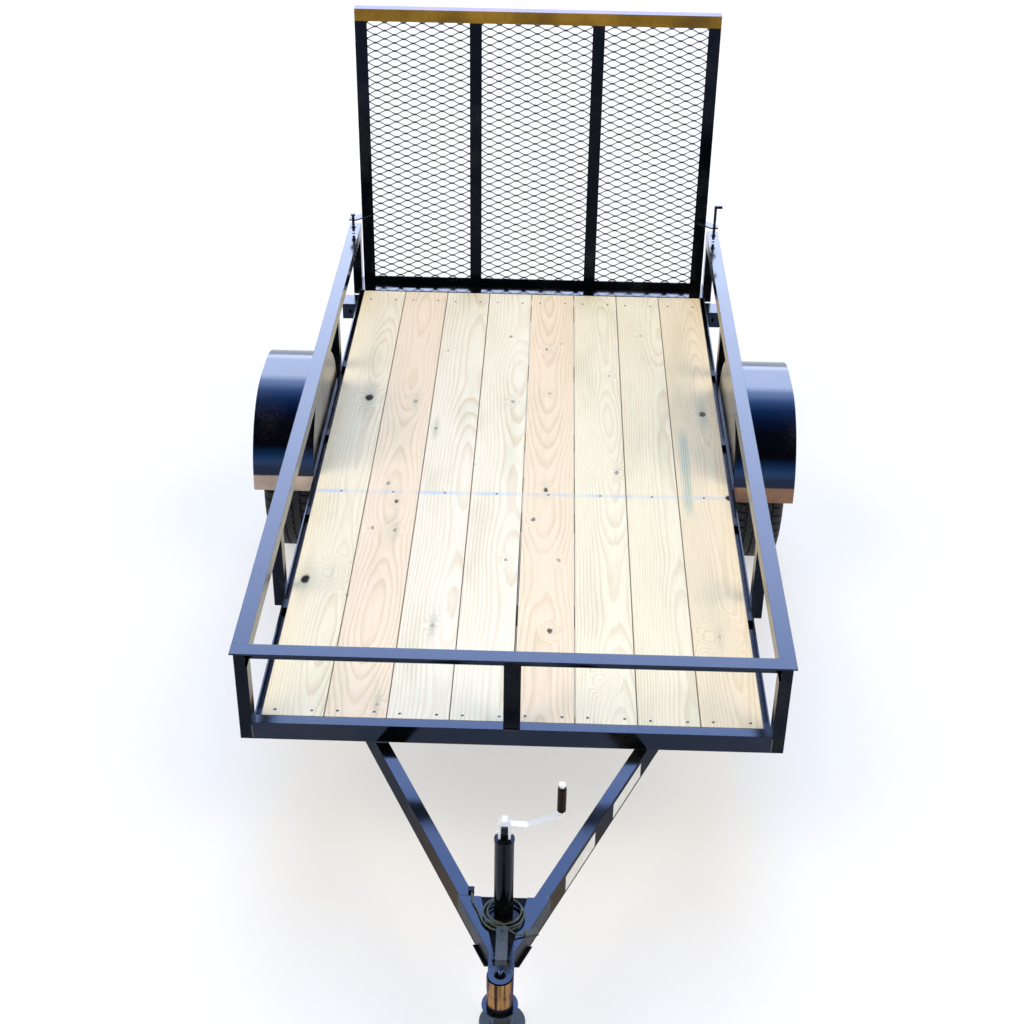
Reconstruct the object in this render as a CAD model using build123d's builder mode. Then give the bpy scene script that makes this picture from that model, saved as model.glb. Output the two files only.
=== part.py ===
"""Single-axle utility trailer: open steel frame, plank bed, low rails, mesh ramp gate.

Frame: +X to the right as seen from the tongue, +Y towards the gate, +Z up, in mm.
The origin is on the ground, midway along and across the trailer.
"""

import os
from math import asin, cos, pi, radians, sin, sqrt, tan

from build123d import *

os.makedirs("parts", exist_ok=True)

# ---------------------------------------------------------------- bed and frame
deck_rise = 142.0            # top of the boards above the wheels' centres
bed_length = 3048.0          # front face of the front beam to rear face of the rear beam
side_half = 766.0            # centre line to the outer face of a side member
side_tail = 76.0             # side members run past the rear beam, beside the gate
wall = 5.0                   # wall of every angle and channel
frame_drop = 61.0            # height of the side members and beams
side_flange = 64.0           # lower flange of a side member
front_flange = 36.0          # top flange of the front beam
rear_flange = 64.0           # top flange of the rear beam
board_count = 8
board_side_gap = 16.25       # outer boards to the side members' walls
board_thickness = 38.0
board_gap = 2.5              # between boards
board_front_gap = 2.0        # boards behind the front beam's flange
board_rear_gap = 7.0         # boards before the rear beam's flange
cross_leg = 50.0             # legs of the cross members
cross_count = 6
cross_first = 62.0           # first cross member behind the front face
cross_last = 158.0           # last one ahead of the rear face
# ---------------------------------------------------------------- rails and posts
rail_height = 257.0          # top of the rails above the boards
rail_flange = 49.0           # top flange of the rails, turned outwards
rail_leg = 50.0              # inner leg of the rails
rail_overhang = 5.0          # front rail's flange ahead of the beam's face
rail_tail = 82.0             # side rails run past the rear beam's face
post_width = 38.0            # across the trailer
post_depth = 50.0            # along the trailer
post_wall = 3.0
mid_post_place = 672.0       # front face behind the bed's front face
rear_mid_post_place = 813.0  # front face ahead of the bed's rear face
# ---------------------------------------------------------------- tongue and coupler
tongue_half_angle = 25.0     # each member from the centre line
tongue_line = 404.0          # members' outer faces from the centre line, at the front face
tongue_height = 76.0
tongue_flange = 36.0
tongue_reach = 775.0         # members end this far ahead of the front face
coupler_back = 615.0         # coupler plate's rear edge ahead of the front face
coupler_web = 50.0           # depth of the coupler's sides below its plate
coupler_neck_half = 33.0     # half width of the neck
seat_gap = 0.3               # clearance between pieces that slip together
ball_radius = 25.4           # 2 inch towing ball
ball_gap = 0.3
nose_place = 930.0           # ball centre ahead of the front face
nose_radius = 34.0
nose_waist = 31.0            # radius of the hollow under the collar
nose_foot = 19.0             # height of the straight wall above the lip
nose_depth = 51.0            # nose below the coupler plate
collar_height = 45.0
collar_bevel = 3.0
crown_radius = 16.0          # domed crown on the collar
crown_rise = 7.0
socket_depth = 22.0          # straight mouth of the socket
lip_width = 12.0             # turned-out lower lip
lip_wall = 4.0
pan_depth = 2.5              # sunk pan in the coupler plate
pan_half = 62.0              # half width at its rear edge
pan_front_half = 19.0
pan_front_gap = 14.0         # pan's front edge behind the neck
wing_length = 70.0           # turned-out lip along the taper
lever_half = 15.0            # half width of the latch lever
lever_pin_radius = 5.0
lever_pin_place = 868.0      # lever pin ahead of the front face
lever_pin_height = 34.0      # above the coupler plate
lever_wall = 3.0
lever_reach = 103.0          # handle's end behind the pin
lever_bend_place = 60.0      # handle rises from here back
lever_toe = 24.0             # toe ahead of the pin
lever_hole_place = 88.0      # safety-pin hole behind the pin
lever_hole_radius = 4.0
ear_wall = 4.0
ear_half = 14.0
# ---------------------------------------------------------------- jack
jack_place = 673.0           # ahead of the front face
jack_radius = 25.4
jack_wall = 2.6
jack_top = 211.0             # top of the tube above the boards
jack_bottom = 330.0          # lower end of the tube above the ground
jack_flange_radius = 48.0
leg_inside = 70.0            # leg's length inside the tube
foot_radius = 64.0
foot_wall = 6.0
foot_collar = (12.0, 8.0)    # collar round the leg: width and height
jack_rim = 8.0               # height of the rolled rim at the tube's top
crank_arm_size = (17.0, 9.0) # arm's flat bar: along the trailer, and thick
crank_bend = 30.0            # radius of the arm's bend
crank_yoke_height = 60.0
crank_yoke_deep = 22.0
crank_yoke_wall = 6.0
crank_yoke_floor = 16.0      # closed top of the yoke
crank_shaft_radius = 9.0
crank_pin_radius = 4.0
crank_pin_rise = 18.0        # crank's pin above the tube's top
crank_reach = 142.0          # crank's grip to the side of the jack
crank_rise = 100.0           # grip's lower end above the tube's top
grip_length = 74.0
grip_radius = 10.5
grip_rod_radius = 4.5
grip_rod_end = 14.0          # rod past the grip at each end
grip_cap_radius = 8.0
# ---------------------------------------------------------------- wheels and axle
axle_place = 1285.0          # wheel centres ahead of the bed's rear face
wheel_radius = 338.0
tyre_width = 194.0
tyre_inner_gap = 12.0        # tyre to the side member's face
tyre_outer_gap = 16.0        # tyre to the fender's outer face
sidewall_radius = 258.0      # where the tyre is widest
tread_half = 63.0            # half width of the flat tread
tread_shoulder = (88.0, 316.0)   # half width and radius at the shoulder
bead_radius = 190.5          # 15 inch rim
rim_width = 152.0
rim_wall = 4.0
rim_well = 18.0              # depth of the drop centre
rim_seat = 22.0              # width of each bead seat
rim_slope = 14.0             # width of the drop centre's slopes
disc_dish = 18.0             # disc's outer ring outside its middle
disc_flat = 92.0             # radius of the disc's flat middle
disc_ring = (116.0, 142.0)   # radii of its outer ring
vent_count = 8
vent_size = (30.0, 16.0)
hub_bore = 17.55
spindle_radius = 17.5
hub_radius = 36.0
hub_flange_radius = 70.0
hub_flange_wall = 10.0
hub_inside = 78.0            # hub's inner end inside the wheel's middle plane
hub_cap = 50.0               # grease cap's end outside it
hub_cap_bevel = 8.0
lug_circle = 57.15           # 5 on 4.5 inch
lug_count = 5
lug_radius = 6.5
axle_radius = 30.0
axle_drop = 100.0            # beam below the spindles
arm_half = 38.0              # drop arm's half width
arm_wall = 22.0
arm_inset = 36.0             # inner face of the drop arm inside the side member's face
# ---------------------------------------------------------------- springs
spring_inset = 78.0          # spring's middle inside the side member's face
leaf_width = 45.0
leaf_wall = 6.0
leaf_half_spans = (318.0, 240.0, 175.0, 110.0)   # longest first, from the top down
spring_pad = 6.0
eye_radius = 14.0
eye_bore = 8.0
eye_rise = 14.0              # spring eyes above the wheels' centres
hanger_wall = 5.0
hanger_gap = 0.5
shackle_back = 26.0          # shackle's upper pin behind the rear eye
shackle_rise = 40.0
shackle_width = 24.0
hanger_half = 45.0           # half length of a hanger at the frame
hanger_tip = 18.0            # hanger's tip beyond its bolt
ubolt_radius = 5.0
ubolt_gap = 0.3              # U-bolt to the axle
ubolt_tail = 16.0            # threaded ends above the tie plate's underside
tie_half = 42.0              # half length of the tie plate
tie_overhang = 13.0          # tie plate past the leaves
# ---------------------------------------------------------------- fenders
fender_clearance = 30.0      # ahead of and behind the wheel
fender_corner = 300.0        # radius of the two shoulders
fender_top = 250.0           # above the boards
fender_end = -66.0           # lower ends, from the boards' top
fender_skin = 2.5
fender_lip = 13.0            # rolled edge on the outer side
# ---------------------------------------------------------------- tail-light boxes
lamp_box_place = 165.0       # front face ahead of the bed's rear face
lamp_box_length = 92.0
lamp_box_width = 68.0
lamp_box_height = 71.0
lamp_box_drop = 22.0         # top below the boards
lamp_box_wall = 2.5
lamp_proud = 14.0
lamp_seat = 12.0             # lamp's depth inside its box
lamp_round = 4.0
wire_hole = (18.0, 10.0)
# ---------------------------------------------------------------- ramp gate
gate_gap = 26.0              # rear beam's face to the gate's face
gate_side_gap = 11.0         # gate's edge inside the side member's face
gate_depth = 50.0
gate_bar = 50.0
gate_low = -22.0             # lower edge, from the boards' top
gate_high = 1222.0
gate_upright = 254.0         # inner uprights from the centre line
mesh_wall = 3.0
mesh_gap = 0.5               # mesh to the legs round its bay
mesh_pitch_x = 190.0
mesh_pitch_z = 96.0
mesh_strand = 10.0
hinge_back = 17.0            # pin behind the rear beam's face
hinge_drop = 36.0            # pin below the boards' top
hinge_inset = 206.0          # hinges inside the side member's face
hinge_length = 60.0
hinge_radius = 11.0
pin_radius = 8.0
pin_clearance = 0.05
lug_wall = 8.0
lug_gap = 1.0
lug_foot = (3.0, 36.0)       # hinge lug's foot on the gate, from the gate's face
lug_waist = 4.0              # lug's edges from the pin's centre
latch_height = 322.0         # latch lug above the boards
latch_wall = 6.0
latch_root = 40.0            # lug's width on the gate's bar
latch_round = 16.0           # lug's material round the pin
latch_collar = (4.0, 8.0, 14.0)  # pin's collar: width, height, place above the pin's tip
latch_handle = 34.0          # turned-over end of the right pin
latch_hole_gap = 0.8         # pin to its hole in the rail
latch_reach = 74.0           # lug ahead of the gate's face
latch_pin_place = 62.0       # pin ahead of the gate's face
latch_pin_out = 21.0         # pin outside the side member's face
latch_pin_radius = 6.0
latch_lift = 12.0            # drawn pin above the rail
latch_pin_tops = {"left": 342.0, "right": 425.0}     # above the boards
# ---------------------------------------------------------------- lighting cord
cord_radius = 2.5
coil_inner = 37.0
coil_outer = 66.0
coil_height = 18.0
coil_ahead = 11.0            # coil's middle ahead of the jack
plug_size = (34.0, 20.0, 9.0)
clip_size = (16.0, 16.0, 14.0)

# ---------------------------------------------------------------- worked-out places
side_length = bed_length + side_tail
nose_reach = nose_place + nose_radius + lip_width
rail_end = bed_length + rail_tail
deck_height = wheel_radius + deck_rise
gate_half = side_half - gate_side_gap
wheel_track_half = side_half + tyre_inner_gap + tyre_width / 2
fender_width = tyre_inner_gap + tyre_width + tyre_outer_gap
fender_half = wheel_radius + fender_clearance
arm_place = side_half - arm_inset
spring_place = side_half - spring_inset
hinge_place = side_half - hinge_inset
latch_pin_x = side_half + latch_pin_out
eye_height = wheel_radius + eye_rise
front = (nose_reach - rail_end) / 2            # y of the front beam's front face
rear = front + bed_length                      # y of the rear beam's rear face
deck = deck_height
under_frame = deck - frame_drop
rail_top = deck + rail_height
rail_under = rail_top - wall
leg_bottom = rail_top - rail_leg
axle_y = rear - axle_place
tongue_slope = tan(radians(tongue_half_angle))
jack_y = front - jack_place
plate_top = under_frame + wall                 # coupler plate lies on the tongue
nose_y = front - nose_place
gate_y = rear + gate_gap
hinge_y = rear + hinge_back
hinge_z = deck - hinge_drop
beam_z = wheel_radius - axle_drop


def save(part, name):
    """Label one piece and write its file."""
    part.label = name
    export_step(part, f"parts/{name}.step")


def save_pair(part, name):
    """Write a piece made for the right side, and its mirror image for the left."""
    save(part, f"{name}_right")
    save(mirror(part, about=Plane.YZ), f"{name}_left")


def save_both(part, name):
    """Write a piece made for the right side and its mirror image as one node."""
    save(Compound([part, mirror(part, about=Plane.YZ)]), name)


def angle_outline(leg_a, leg_b):
    """L-shaped section: legs along local x and y, heel at the local origin."""
    Polyline((0, 0), (leg_a, 0), (leg_a, wall), (wall, wall), (wall, leg_b), (0, leg_b), close=True)


# ================================================================ frame
with BuildPart() as side_member:
    with BuildSketch(Plane((side_half, front, under_frame), x_dir=(-1, 0, 0), z_dir=(0, 1, 0))):
        with BuildLine():
            angle_outline(side_flange, frame_drop)
        make_face()
    extrude(amount=side_length)
    # the lower flange stops behind the front beam's leg
    with Locations((side_half - wall, front, under_frame)):
        Box(side_flange, wall, wall, align=(Align.MAX, Align.MIN, Align.MIN), mode=Mode.SUBTRACT)
    # and short of the gate's path
    with Locations((side_half - wall, rear, under_frame)):
        Box(side_flange, side_tail, wall, align=(Align.MAX, Align.MIN, Align.MIN), mode=Mode.SUBTRACT)
save_pair(side_member.part, "side_member")

beam_half = side_half - wall
with BuildPart() as front_beam:
    with BuildSketch(Plane((-beam_half, front, deck), x_dir=(0, 1, 0), z_dir=(1, 0, 0))):
        with BuildLine():
            Polyline((0, 0), (front_flange, 0), (front_flange, -wall), (wall, -wall),
                     (wall, -frame_drop), (0, -frame_drop), close=True)
        make_face()
    extrude(amount=2 * beam_half)
save(front_beam.part, "front_beam")

with BuildPart() as rear_beam:
    with BuildSketch(Plane((-beam_half, rear, deck), x_dir=(0, 1, 0), z_dir=(1, 0, 0))):
        with BuildLine():
            # stands on the side members' lower flanges
            Polyline((0, 0), (-rear_flange, 0), (-rear_flange, -wall), (-wall, -wall),
                     (-wall, wall - frame_drop), (0, wall - frame_drop), close=True)
        make_face()
    extrude(amount=2 * beam_half)
save(rear_beam.part, "rear_beam")

cross_top = deck - board_thickness
cross_step = (bed_length - cross_last - cross_first) / (cross_count - 1)
cross_places = [front + cross_first + cross_step * i for i in range(cross_count)]
flange_top = under_frame + wall
with BuildPart() as cross_members:
    for place in cross_places:
        with BuildSketch(Plane((-beam_half, place, cross_top), x_dir=(0, 1, 0), z_dir=(1, 0, 0))):
            with BuildLine():
                Polyline((0, 0), (cross_leg, 0), (cross_leg, -wall), (wall, -wall),
                         (wall, -cross_leg), (0, -cross_leg), close=True)
            make_face()
        extrude(amount=2 * beam_half)
        # coped ends sit on the side members' lower flanges
        for side in (-1, 1):
            with Locations((side * (side_half - side_flange), place, flange_top)):
                Box(side_flange, cross_leg, cross_leg, mode=Mode.SUBTRACT,
                    align=(Align.MIN if side > 0 else Align.MAX, Align.MIN, Align.MAX))
    # the first one rests on the tongue
    with Locations((0, cross_places[0], under_frame)):
        Box(2 * beam_half, cross_leg, cross_leg, mode=Mode.SUBTRACT,
            align=(Align.CENTER, Align.MIN, Align.MAX))
save(cross_members.part, "cross_members")

boards_across = 2 * (side_half - wall - board_side_gap)
board_width = (boards_across - (board_count - 1) * board_gap) / board_count
board_front = front + front_flange + board_front_gap
board_rear = rear - rear_flange - board_rear_gap
with BuildPart() as boards:
    with BuildSketch(Plane.XY.offset(cross_top)):
        with Locations((0, (board_front + board_rear) / 2)):
            with GridLocations(board_width + board_gap, 1, board_count, 1):
                Rectangle(board_width, board_rear - board_front)
    extrude(amount=board_thickness)
save(boards.part, "deck_boards")

# ================================================================ rails and posts
with BuildPart() as side_rail:
    with BuildSketch(Plane((side_half, front + rail_flange - rail_overhang, rail_top),
                           x_dir=(1, 0, 0), z_dir=(0, 1, 0))):
        with BuildLine():
            angle_outline(rail_flange, rail_leg)
        make_face()
    extrude(amount=rail_end - (rail_flange - rail_overhang))
    # hole for the gate's latch pin
    with BuildSketch(Plane.XY.offset(rail_top)):
        with Locations((latch_pin_x, gate_y - latch_pin_place)):
            Circle(latch_pin_radius + latch_hole_gap)
    extrude(amount=-wall, mode=Mode.SUBTRACT)
save_pair(side_rail.part, "top_rail")

rail_half = side_half + rail_flange
with BuildPart() as front_rail:
    with BuildSketch(Plane((-rail_half, front - rail_overhang, rail_top),
                           x_dir=(0, 1, 0), z_dir=(1, 0, 0))):
        with BuildLine():
            Polyline((0, 0), (rail_flange, 0), (rail_flange, -rail_leg),
                     (rail_flange - wall, -rail_leg), (rail_flange - wall, -wall), (0, -wall),
                     close=True)
        make_face()
    extrude(amount=2 * rail_half)
    # the leg runs between the side rails only
    for side in (-1, 1):
        with Locations((side * side_half, front, rail_under)):
            Box(2 * rail_flange, 2 * rail_flange, rail_leg, mode=Mode.SUBTRACT,
                align=(Align.MIN if side > 0 else Align.MAX, Align.CENTER, Align.MAX))
save(front_rail.part, "top_rail_front")

# front faces of the posts on each side, from the bed's front face
post_places = (0.0, mid_post_place, bed_length - rear_mid_post_place, side_length - post_depth)
with BuildPart() as side_posts:
    for place in post_places:
        with BuildSketch(Plane.XY.offset(under_frame)):
            with Locations((side_half + post_width / 2, front + place + post_depth / 2)):
                Rectangle(post_width, post_depth)
                Rectangle(post_width - 2 * post_wall, post_depth - 2 * post_wall, mode=Mode.SUBTRACT)
        extrude(amount=rail_under - under_frame)
        # coped round the rail's leg
        with Locations((side_half, front + place, leg_bottom)):
            Box(wall, post_depth, rail_leg, align=Align.MIN, mode=Mode.SUBTRACT)
save_pair(side_posts.part, "side_posts")

with BuildPart() as front_post:
    post_run = rail_flange - rail_overhang - wall
    with BuildSketch(Plane.XY.offset(deck)):
        with Locations((0, front + post_run / 2)):
            Rectangle(post_depth, post_run)
            Rectangle(post_depth - 2 * post_wall, post_run - 2 * post_wall, mode=Mode.SUBTRACT)
    extrude(amount=rail_under - deck)
save(front_post.part, "front_post")

# ================================================================ tongue
along = (sin(radians(tongue_half_angle)), cos(radians(tongue_half_angle)), 0)
inward = (-along[1], along[0], 0)
tongue_start = tongue_reach + tongue_flange
tongue_low = under_frame - tongue_height
with BuildPart() as tongue:
    with BuildSketch(Plane((tongue_line - tongue_slope * tongue_start, front - tongue_start, tongue_low),
                           x_dir=inward, z_dir=along)):
        with BuildLine():
            Polyline((0, 0), (tongue_flange, 0), (tongue_flange, wall), (wall, wall),
                     (wall, tongue_height - wall), (tongue_flange, tongue_height - wall),
                     (tongue_flange, tongue_height), (0, tongue_height), close=True)
        make_face()
    extrude(amount=(tongue_start + cross_places[1] - front + tongue_flange) / along[1])
    # square front end, rear end butted to the second cross member
    with Locations((0, front - tongue_reach, tongue_low)):
        Box(bed_length, cross_places[1] - front + tongue_reach, tongue_height, mode=Mode.INTERSECT,
            align=(Align.CENTER, Align.MIN, Align.MIN))
save_pair(tongue.part, "tongue")

# ================================================================ coupler
slip = (wall + seat_gap) / along[1]
coupler_line = tongue_line + slip              # outer faces, at the front face
coupler_wide = coupler_line - tongue_slope * coupler_back
neck_start = (coupler_line - coupler_neck_half) / tongue_slope
web_shift = wall / along[1]
neck_inner = coupler_neck_half - wall
neck_inner_start = (coupler_line - web_shift - neck_inner) / tongue_slope
web_bottom = under_frame - coupler_web
nose_bottom = plate_top - nose_depth - wall
ball_z = nose_bottom + socket_depth
socket_radius = ball_radius + ball_gap


def coupler_outline(wide, narrow, start, end):
    """Tapered outline with a straight neck, symmetric about the centre line."""
    half = ((wide, -coupler_back), (narrow, -start), (narrow, -end))
    Polyline(*[(x, front + y) for x, y in half], *[(-x, front + y) for x, y in reversed(half)],
             close=True)


with BuildPart() as coupler:
    # top plate
    with BuildSketch(Plane.XY.offset(under_frame)):
        with BuildLine():
            coupler_outline(coupler_wide, coupler_neck_half, neck_start, nose_place)
        make_face()
    extrude(amount=wall)
    # sides, down outside the tongue
    with BuildSketch(Plane.XY.offset(under_frame)):
        with BuildLine():
            coupler_outline(coupler_wide, coupler_neck_half, neck_start, nose_place)
        make_face()
        with BuildLine():
            coupler_outline(coupler_wide - web_shift, neck_inner, neck_inner_start, nose_place)
        make_face(mode=Mode.SUBTRACT)
    extrude(amount=-coupler_web)
    # turned-out lower lips along the taper
    with BuildSketch(Plane.XY.offset(web_bottom)):
        with BuildLine():
            lip_from = neck_start - wing_length
            lip_inner = coupler_line - tongue_slope * lip_from
            Polyline((lip_inner, front - lip_from), (lip_inner + lip_width, front - lip_from),
                     (coupler_neck_half + lip_width, front - neck_start),
                     (coupler_neck_half, front - neck_start), close=True)
        make_face()
        mirror(about=Plane.YZ)
    extrude(amount=lip_wall)
    # nose: lip and foot, waist, then the collar with its domed crown
    foot_z = nose_bottom + lip_wall + nose_foot
    collar_z = deck - collar_bevel - collar_height
    with BuildSketch(Plane.YZ):
        with BuildLine():
            ThreePointArc((nose_y, deck + crown_rise - collar_bevel),
                          (nose_y + 0.7 * crown_radius, deck - collar_bevel + 0.6 * crown_rise),
                          (nose_y + crown_radius, deck - collar_bevel))
            Polyline((nose_y + crown_radius, deck - collar_bevel),
                     (nose_y + nose_radius - collar_bevel, deck - collar_bevel),
                     (nose_y + nose_radius, deck - 2 * collar_bevel),
                     (nose_y + nose_radius, collar_z), (nose_y + nose_waist, collar_z),
                     (nose_y + nose_waist, collar_z - lip_wall), (nose_y + nose_radius, foot_z),
                     (nose_y + nose_radius, nose_bottom + lip_wall),
                     (nose_y + nose_radius + lip_width, nose_bottom + lip_wall),
                     (nose_y + nose_radius + lip_width, nose_bottom),
                     (nose_y, nose_bottom), (nose_y, deck + crown_rise - collar_bevel))
        make_face()
    revolve(axis=Axis((0, nose_y, 0), (0, 0, 1)))
    # ball socket
    with Locations((0, nose_y, nose_bottom)):
        Cylinder(socket_radius, socket_depth, align=(Align.CENTER, Align.CENTER, Align.MIN),
                 mode=Mode.SUBTRACT)
    with Locations((0, nose_y, ball_z)):
        Sphere(socket_radius, mode=Mode.SUBTRACT)
    # sunk pan and the jack's hole
    with BuildSketch(Plane.XY.offset(plate_top)):
        with BuildLine():
            pan_front = front - neck_start - pan_front_gap
            Polyline((-pan_half, front - coupler_back), (pan_half, front - coupler_back),
                     (pan_front_half, pan_front), (-pan_front_half, pan_front), close=True)
        make_face()
    extrude(amount=-pan_depth, mode=Mode.SUBTRACT)
    with Locations((0, jack_y, under_frame)):
        Cylinder(jack_radius + seat_gap, 2 * wall, mode=Mode.SUBTRACT)
    # ears and pin for the latch lever
    pin_y = front - lever_pin_place
    pin_z = plate_top + lever_pin_height
    with BuildSketch(Plane.YZ.offset(lever_half + 1)):
        with Locations((pin_y, pin_z)):
            Circle(2 * lever_pin_radius)
        with BuildLine():
            Polyline((pin_y - ear_half, plate_top), (pin_y + ear_half, plate_top),
                     (pin_y + 2 * lever_pin_radius, pin_z), (pin_y - 2 * lever_pin_radius, pin_z),
                     close=True)
        make_face()
    extrude(amount=ear_wall)
    mirror(about=Plane.YZ)
    with Locations(Plane((0, pin_y, pin_z), z_dir=(1, 0, 0))):
        Cylinder(lever_pin_radius, 2 * (lever_half + ear_wall + 3))
save(coupler.part, "coupler")

# channel-shaped handle: toe down ahead of the pin, long tail rising to the rear
with BuildPart() as lever:
    with BuildSketch(Plane.YZ.offset(-lever_half)):
        with BuildLine():
            Polyline((pin_y - lever_toe, pin_z - 16), (pin_y - lever_toe, pin_z + 2), (pin_y - 8, pin_z + 13),
                     (pin_y + lever_bend_place, pin_z + 9), (pin_y + lever_reach, pin_z + 15),
                     (pin_y + lever_reach, pin_z + 4), (pin_y + lever_bend_place, pin_z - 4),
                     (pin_y + 14, pin_z - 10), (pin_y - 10, pin_z - 12), close=True)
        make_face()
    extrude(amount=2 * lever_half)
    # open below between its two cheeks, solid at the toe
    with BuildSketch(Plane.YZ.offset(-lever_half + lever_wall)):
        with BuildLine():
            Polyline((pin_y + 12, pin_z - 18), (pin_y + 12, pin_z + 12 - lever_wall),
                     (pin_y + lever_bend_place, pin_z + 9 - lever_wall),
                     (pin_y + lever_reach + 1, pin_z + 15 - lever_wall),
                     (pin_y + lever_reach + 1, pin_z - 18), close=True)
        make_face()
    extrude(amount=2 * (lever_half - lever_wall), mode=Mode.SUBTRACT)
    with Locations(Plane((0, pin_y, pin_z), z_dir=(1, 0, 0))):
        Cylinder(lever_pin_radius + pin_clearance, 3 * lever_half, mode=Mode.SUBTRACT)
    with Locations((0, pin_y + lever_hole_place, pin_z)):
        Cylinder(lever_hole_radius, lever_toe * 2, mode=Mode.SUBTRACT)
save(lever.part, "latch_lever")

# ================================================================ jack
tube_top = deck + jack_top
pan_top = plate_top - pan_depth
with BuildPart() as jack_tube:
    with BuildSketch(Plane.XY.offset(jack_bottom)):
        with Locations((0, jack_y)):
            Circle(jack_radius)
            Circle(jack_radius - jack_wall, mode=Mode.SUBTRACT)
    extrude(amount=tube_top - jack_bottom)
    with BuildSketch(Plane.XY.offset(tube_top)):
        with Locations((0, jack_y)):
            Circle(jack_radius + 1)
    extrude(amount=-jack_rim)
    with BuildSketch(Plane.XY.offset(pan_top)):
        with Locations((0, jack_y)):
            Circle(jack_flange_radius)
            Circle(jack_radius - jack_wall, mode=Mode.SUBTRACT)
    extrude(amount=wall)
    # screw's end, drilled for the crank's pin
    with BuildSketch(Plane.XY.offset(tube_top)):
        with Locations((0, jack_y)):
            Circle(crank_shaft_radius)
    extrude(amount=2 * crank_pin_rise)
    with Locations(Plane((0, jack_y, tube_top + crank_pin_rise), z_dir=(1, 0, 0))):
        Cylinder(crank_pin_radius + pin_clearance, 4 * crank_shaft_radius, mode=Mode.SUBTRACT)
save(jack_tube.part, "jack_tube")

leg_radius = jack_radius - jack_wall - seat_gap
leg_top = jack_bottom + leg_inside
with BuildPart() as jack_leg:
    with BuildSketch(Plane.XY):
        with Locations((0, jack_y)):
            Circle(foot_radius)
    extrude(amount=foot_wall)
    with BuildSketch(Plane.XY.offset(foot_wall)):
        with Locations((0, jack_y)):
            Circle(leg_radius + foot_collar[0])
    extrude(amount=foot_collar[1])
    with BuildSketch(Plane.XY.offset(foot_wall)):
        with Locations((0, jack_y)):
            Circle(leg_radius)
    extrude(amount=leg_top - foot_wall)
save(jack_leg.part, "jack_leg")

crank_z = tube_top + crank_yoke_wall
yoke_top = crank_z + crank_yoke_height
yoke_half = crank_shaft_radius + 1 + crank_yoke_wall
grip_z = tube_top + crank_rise
arm_z = yoke_top - crank_pin_rise
with BuildPart() as crank:
    # yoke over the screw's end, held by its cross pin
    with BuildSketch(Plane.XZ.offset(-jack_y - crank_yoke_deep / 2)):
        with Locations((0, (crank_z + yoke_top) / 2)):
            RectangleRounded(2 * yoke_half, crank_yoke_height, yoke_half - 1)
        with Locations((0, crank_z)):
            Rectangle(2 * yoke_half, crank_yoke_height / 2, align=(Align.CENTER, Align.MIN))
    extrude(amount=crank_yoke_deep)
    with Locations((0, jack_y, crank_z)):
        Box(2 * (crank_shaft_radius + 1), 2 * crank_yoke_deep, crank_yoke_height - crank_yoke_floor,
            mode=Mode.SUBTRACT, align=(Align.CENTER, Align.CENTER, Align.MIN))
    with Locations(Plane((0, jack_y, tube_top + crank_pin_rise), z_dir=(1, 0, 0))):
        Cylinder(crank_pin_radius, 2 * (yoke_half + 4))
    # flat arm, bent up to the grip's rod
    arm_start = (yoke_half - 4, jack_y, arm_z)
    arm_bend = (crank_reach * 0.4, jack_y, arm_z - 4)
    with BuildLine():
        FilletPolyline(arm_start, arm_bend, (crank_reach + 6, jack_y, grip_z - grip_rod_end + 4),
                       radius=crank_bend)
    with BuildSketch(Plane(arm_start, x_dir=(0, 1, 0), z_dir=Vector(*arm_bend) - Vector(*arm_start))):
        Rectangle(*crank_arm_size)
    sweep()
    # grip on its rod, with a cap at the top
    for low, tall, radius in ((grip_z - grip_rod_end - 2, grip_rod_end + 4, grip_rod_radius + 2),
                              (grip_z, grip_length, grip_radius),
                              (grip_z + grip_length, grip_rod_end, grip_rod_radius),
                              (grip_z + grip_length + grip_rod_end - 8, 8, grip_cap_radius)):
        with BuildSketch(Plane.XY.offset(low)):
            with Locations((crank_reach, jack_y)):
                Circle(radius)
        extrude(amount=tall)
save(crank.part, "jack_crank")

# ================================================================ axle, springs and wheels
arm_outer = arm_place + arm_wall
hub_inner = wheel_track_half - hub_inside
with BuildPart() as axle:
    with Locations(Plane((0, axle_y, beam_z), z_dir=(1, 0, 0))):
        Cylinder(axle_radius, 2 * arm_place)
    for side in (-1, 1):
        # drop arm, then the spindle
        arm_x = arm_place if side > 0 else -arm_outer
        with BuildSketch(Plane.YZ.offset(arm_x)):
            with Locations((axle_y, (beam_z + wheel_radius) / 2)):
                SlotCenterToCenter(axle_drop, 2 * arm_half, rotation=90)
        extrude(amount=arm_wall)
        spindle_x = arm_outer if side > 0 else -arm_outer
        with Locations(Plane((spindle_x, axle_y, wheel_radius), z_dir=(side, 0, 0))):
            Cylinder(spindle_radius, wheel_track_half - arm_outer,
                     align=(Align.CENTER, Align.CENTER, Align.MIN))
        # seats under the springs
        with Locations((side * spring_place, axle_y, beam_z)):
            Box(leaf_width, 2 * axle_radius, axle_radius + spring_pad,
                align=(Align.CENTER, Align.CENTER, Align.MIN))
save(axle.part, "axle")

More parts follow.
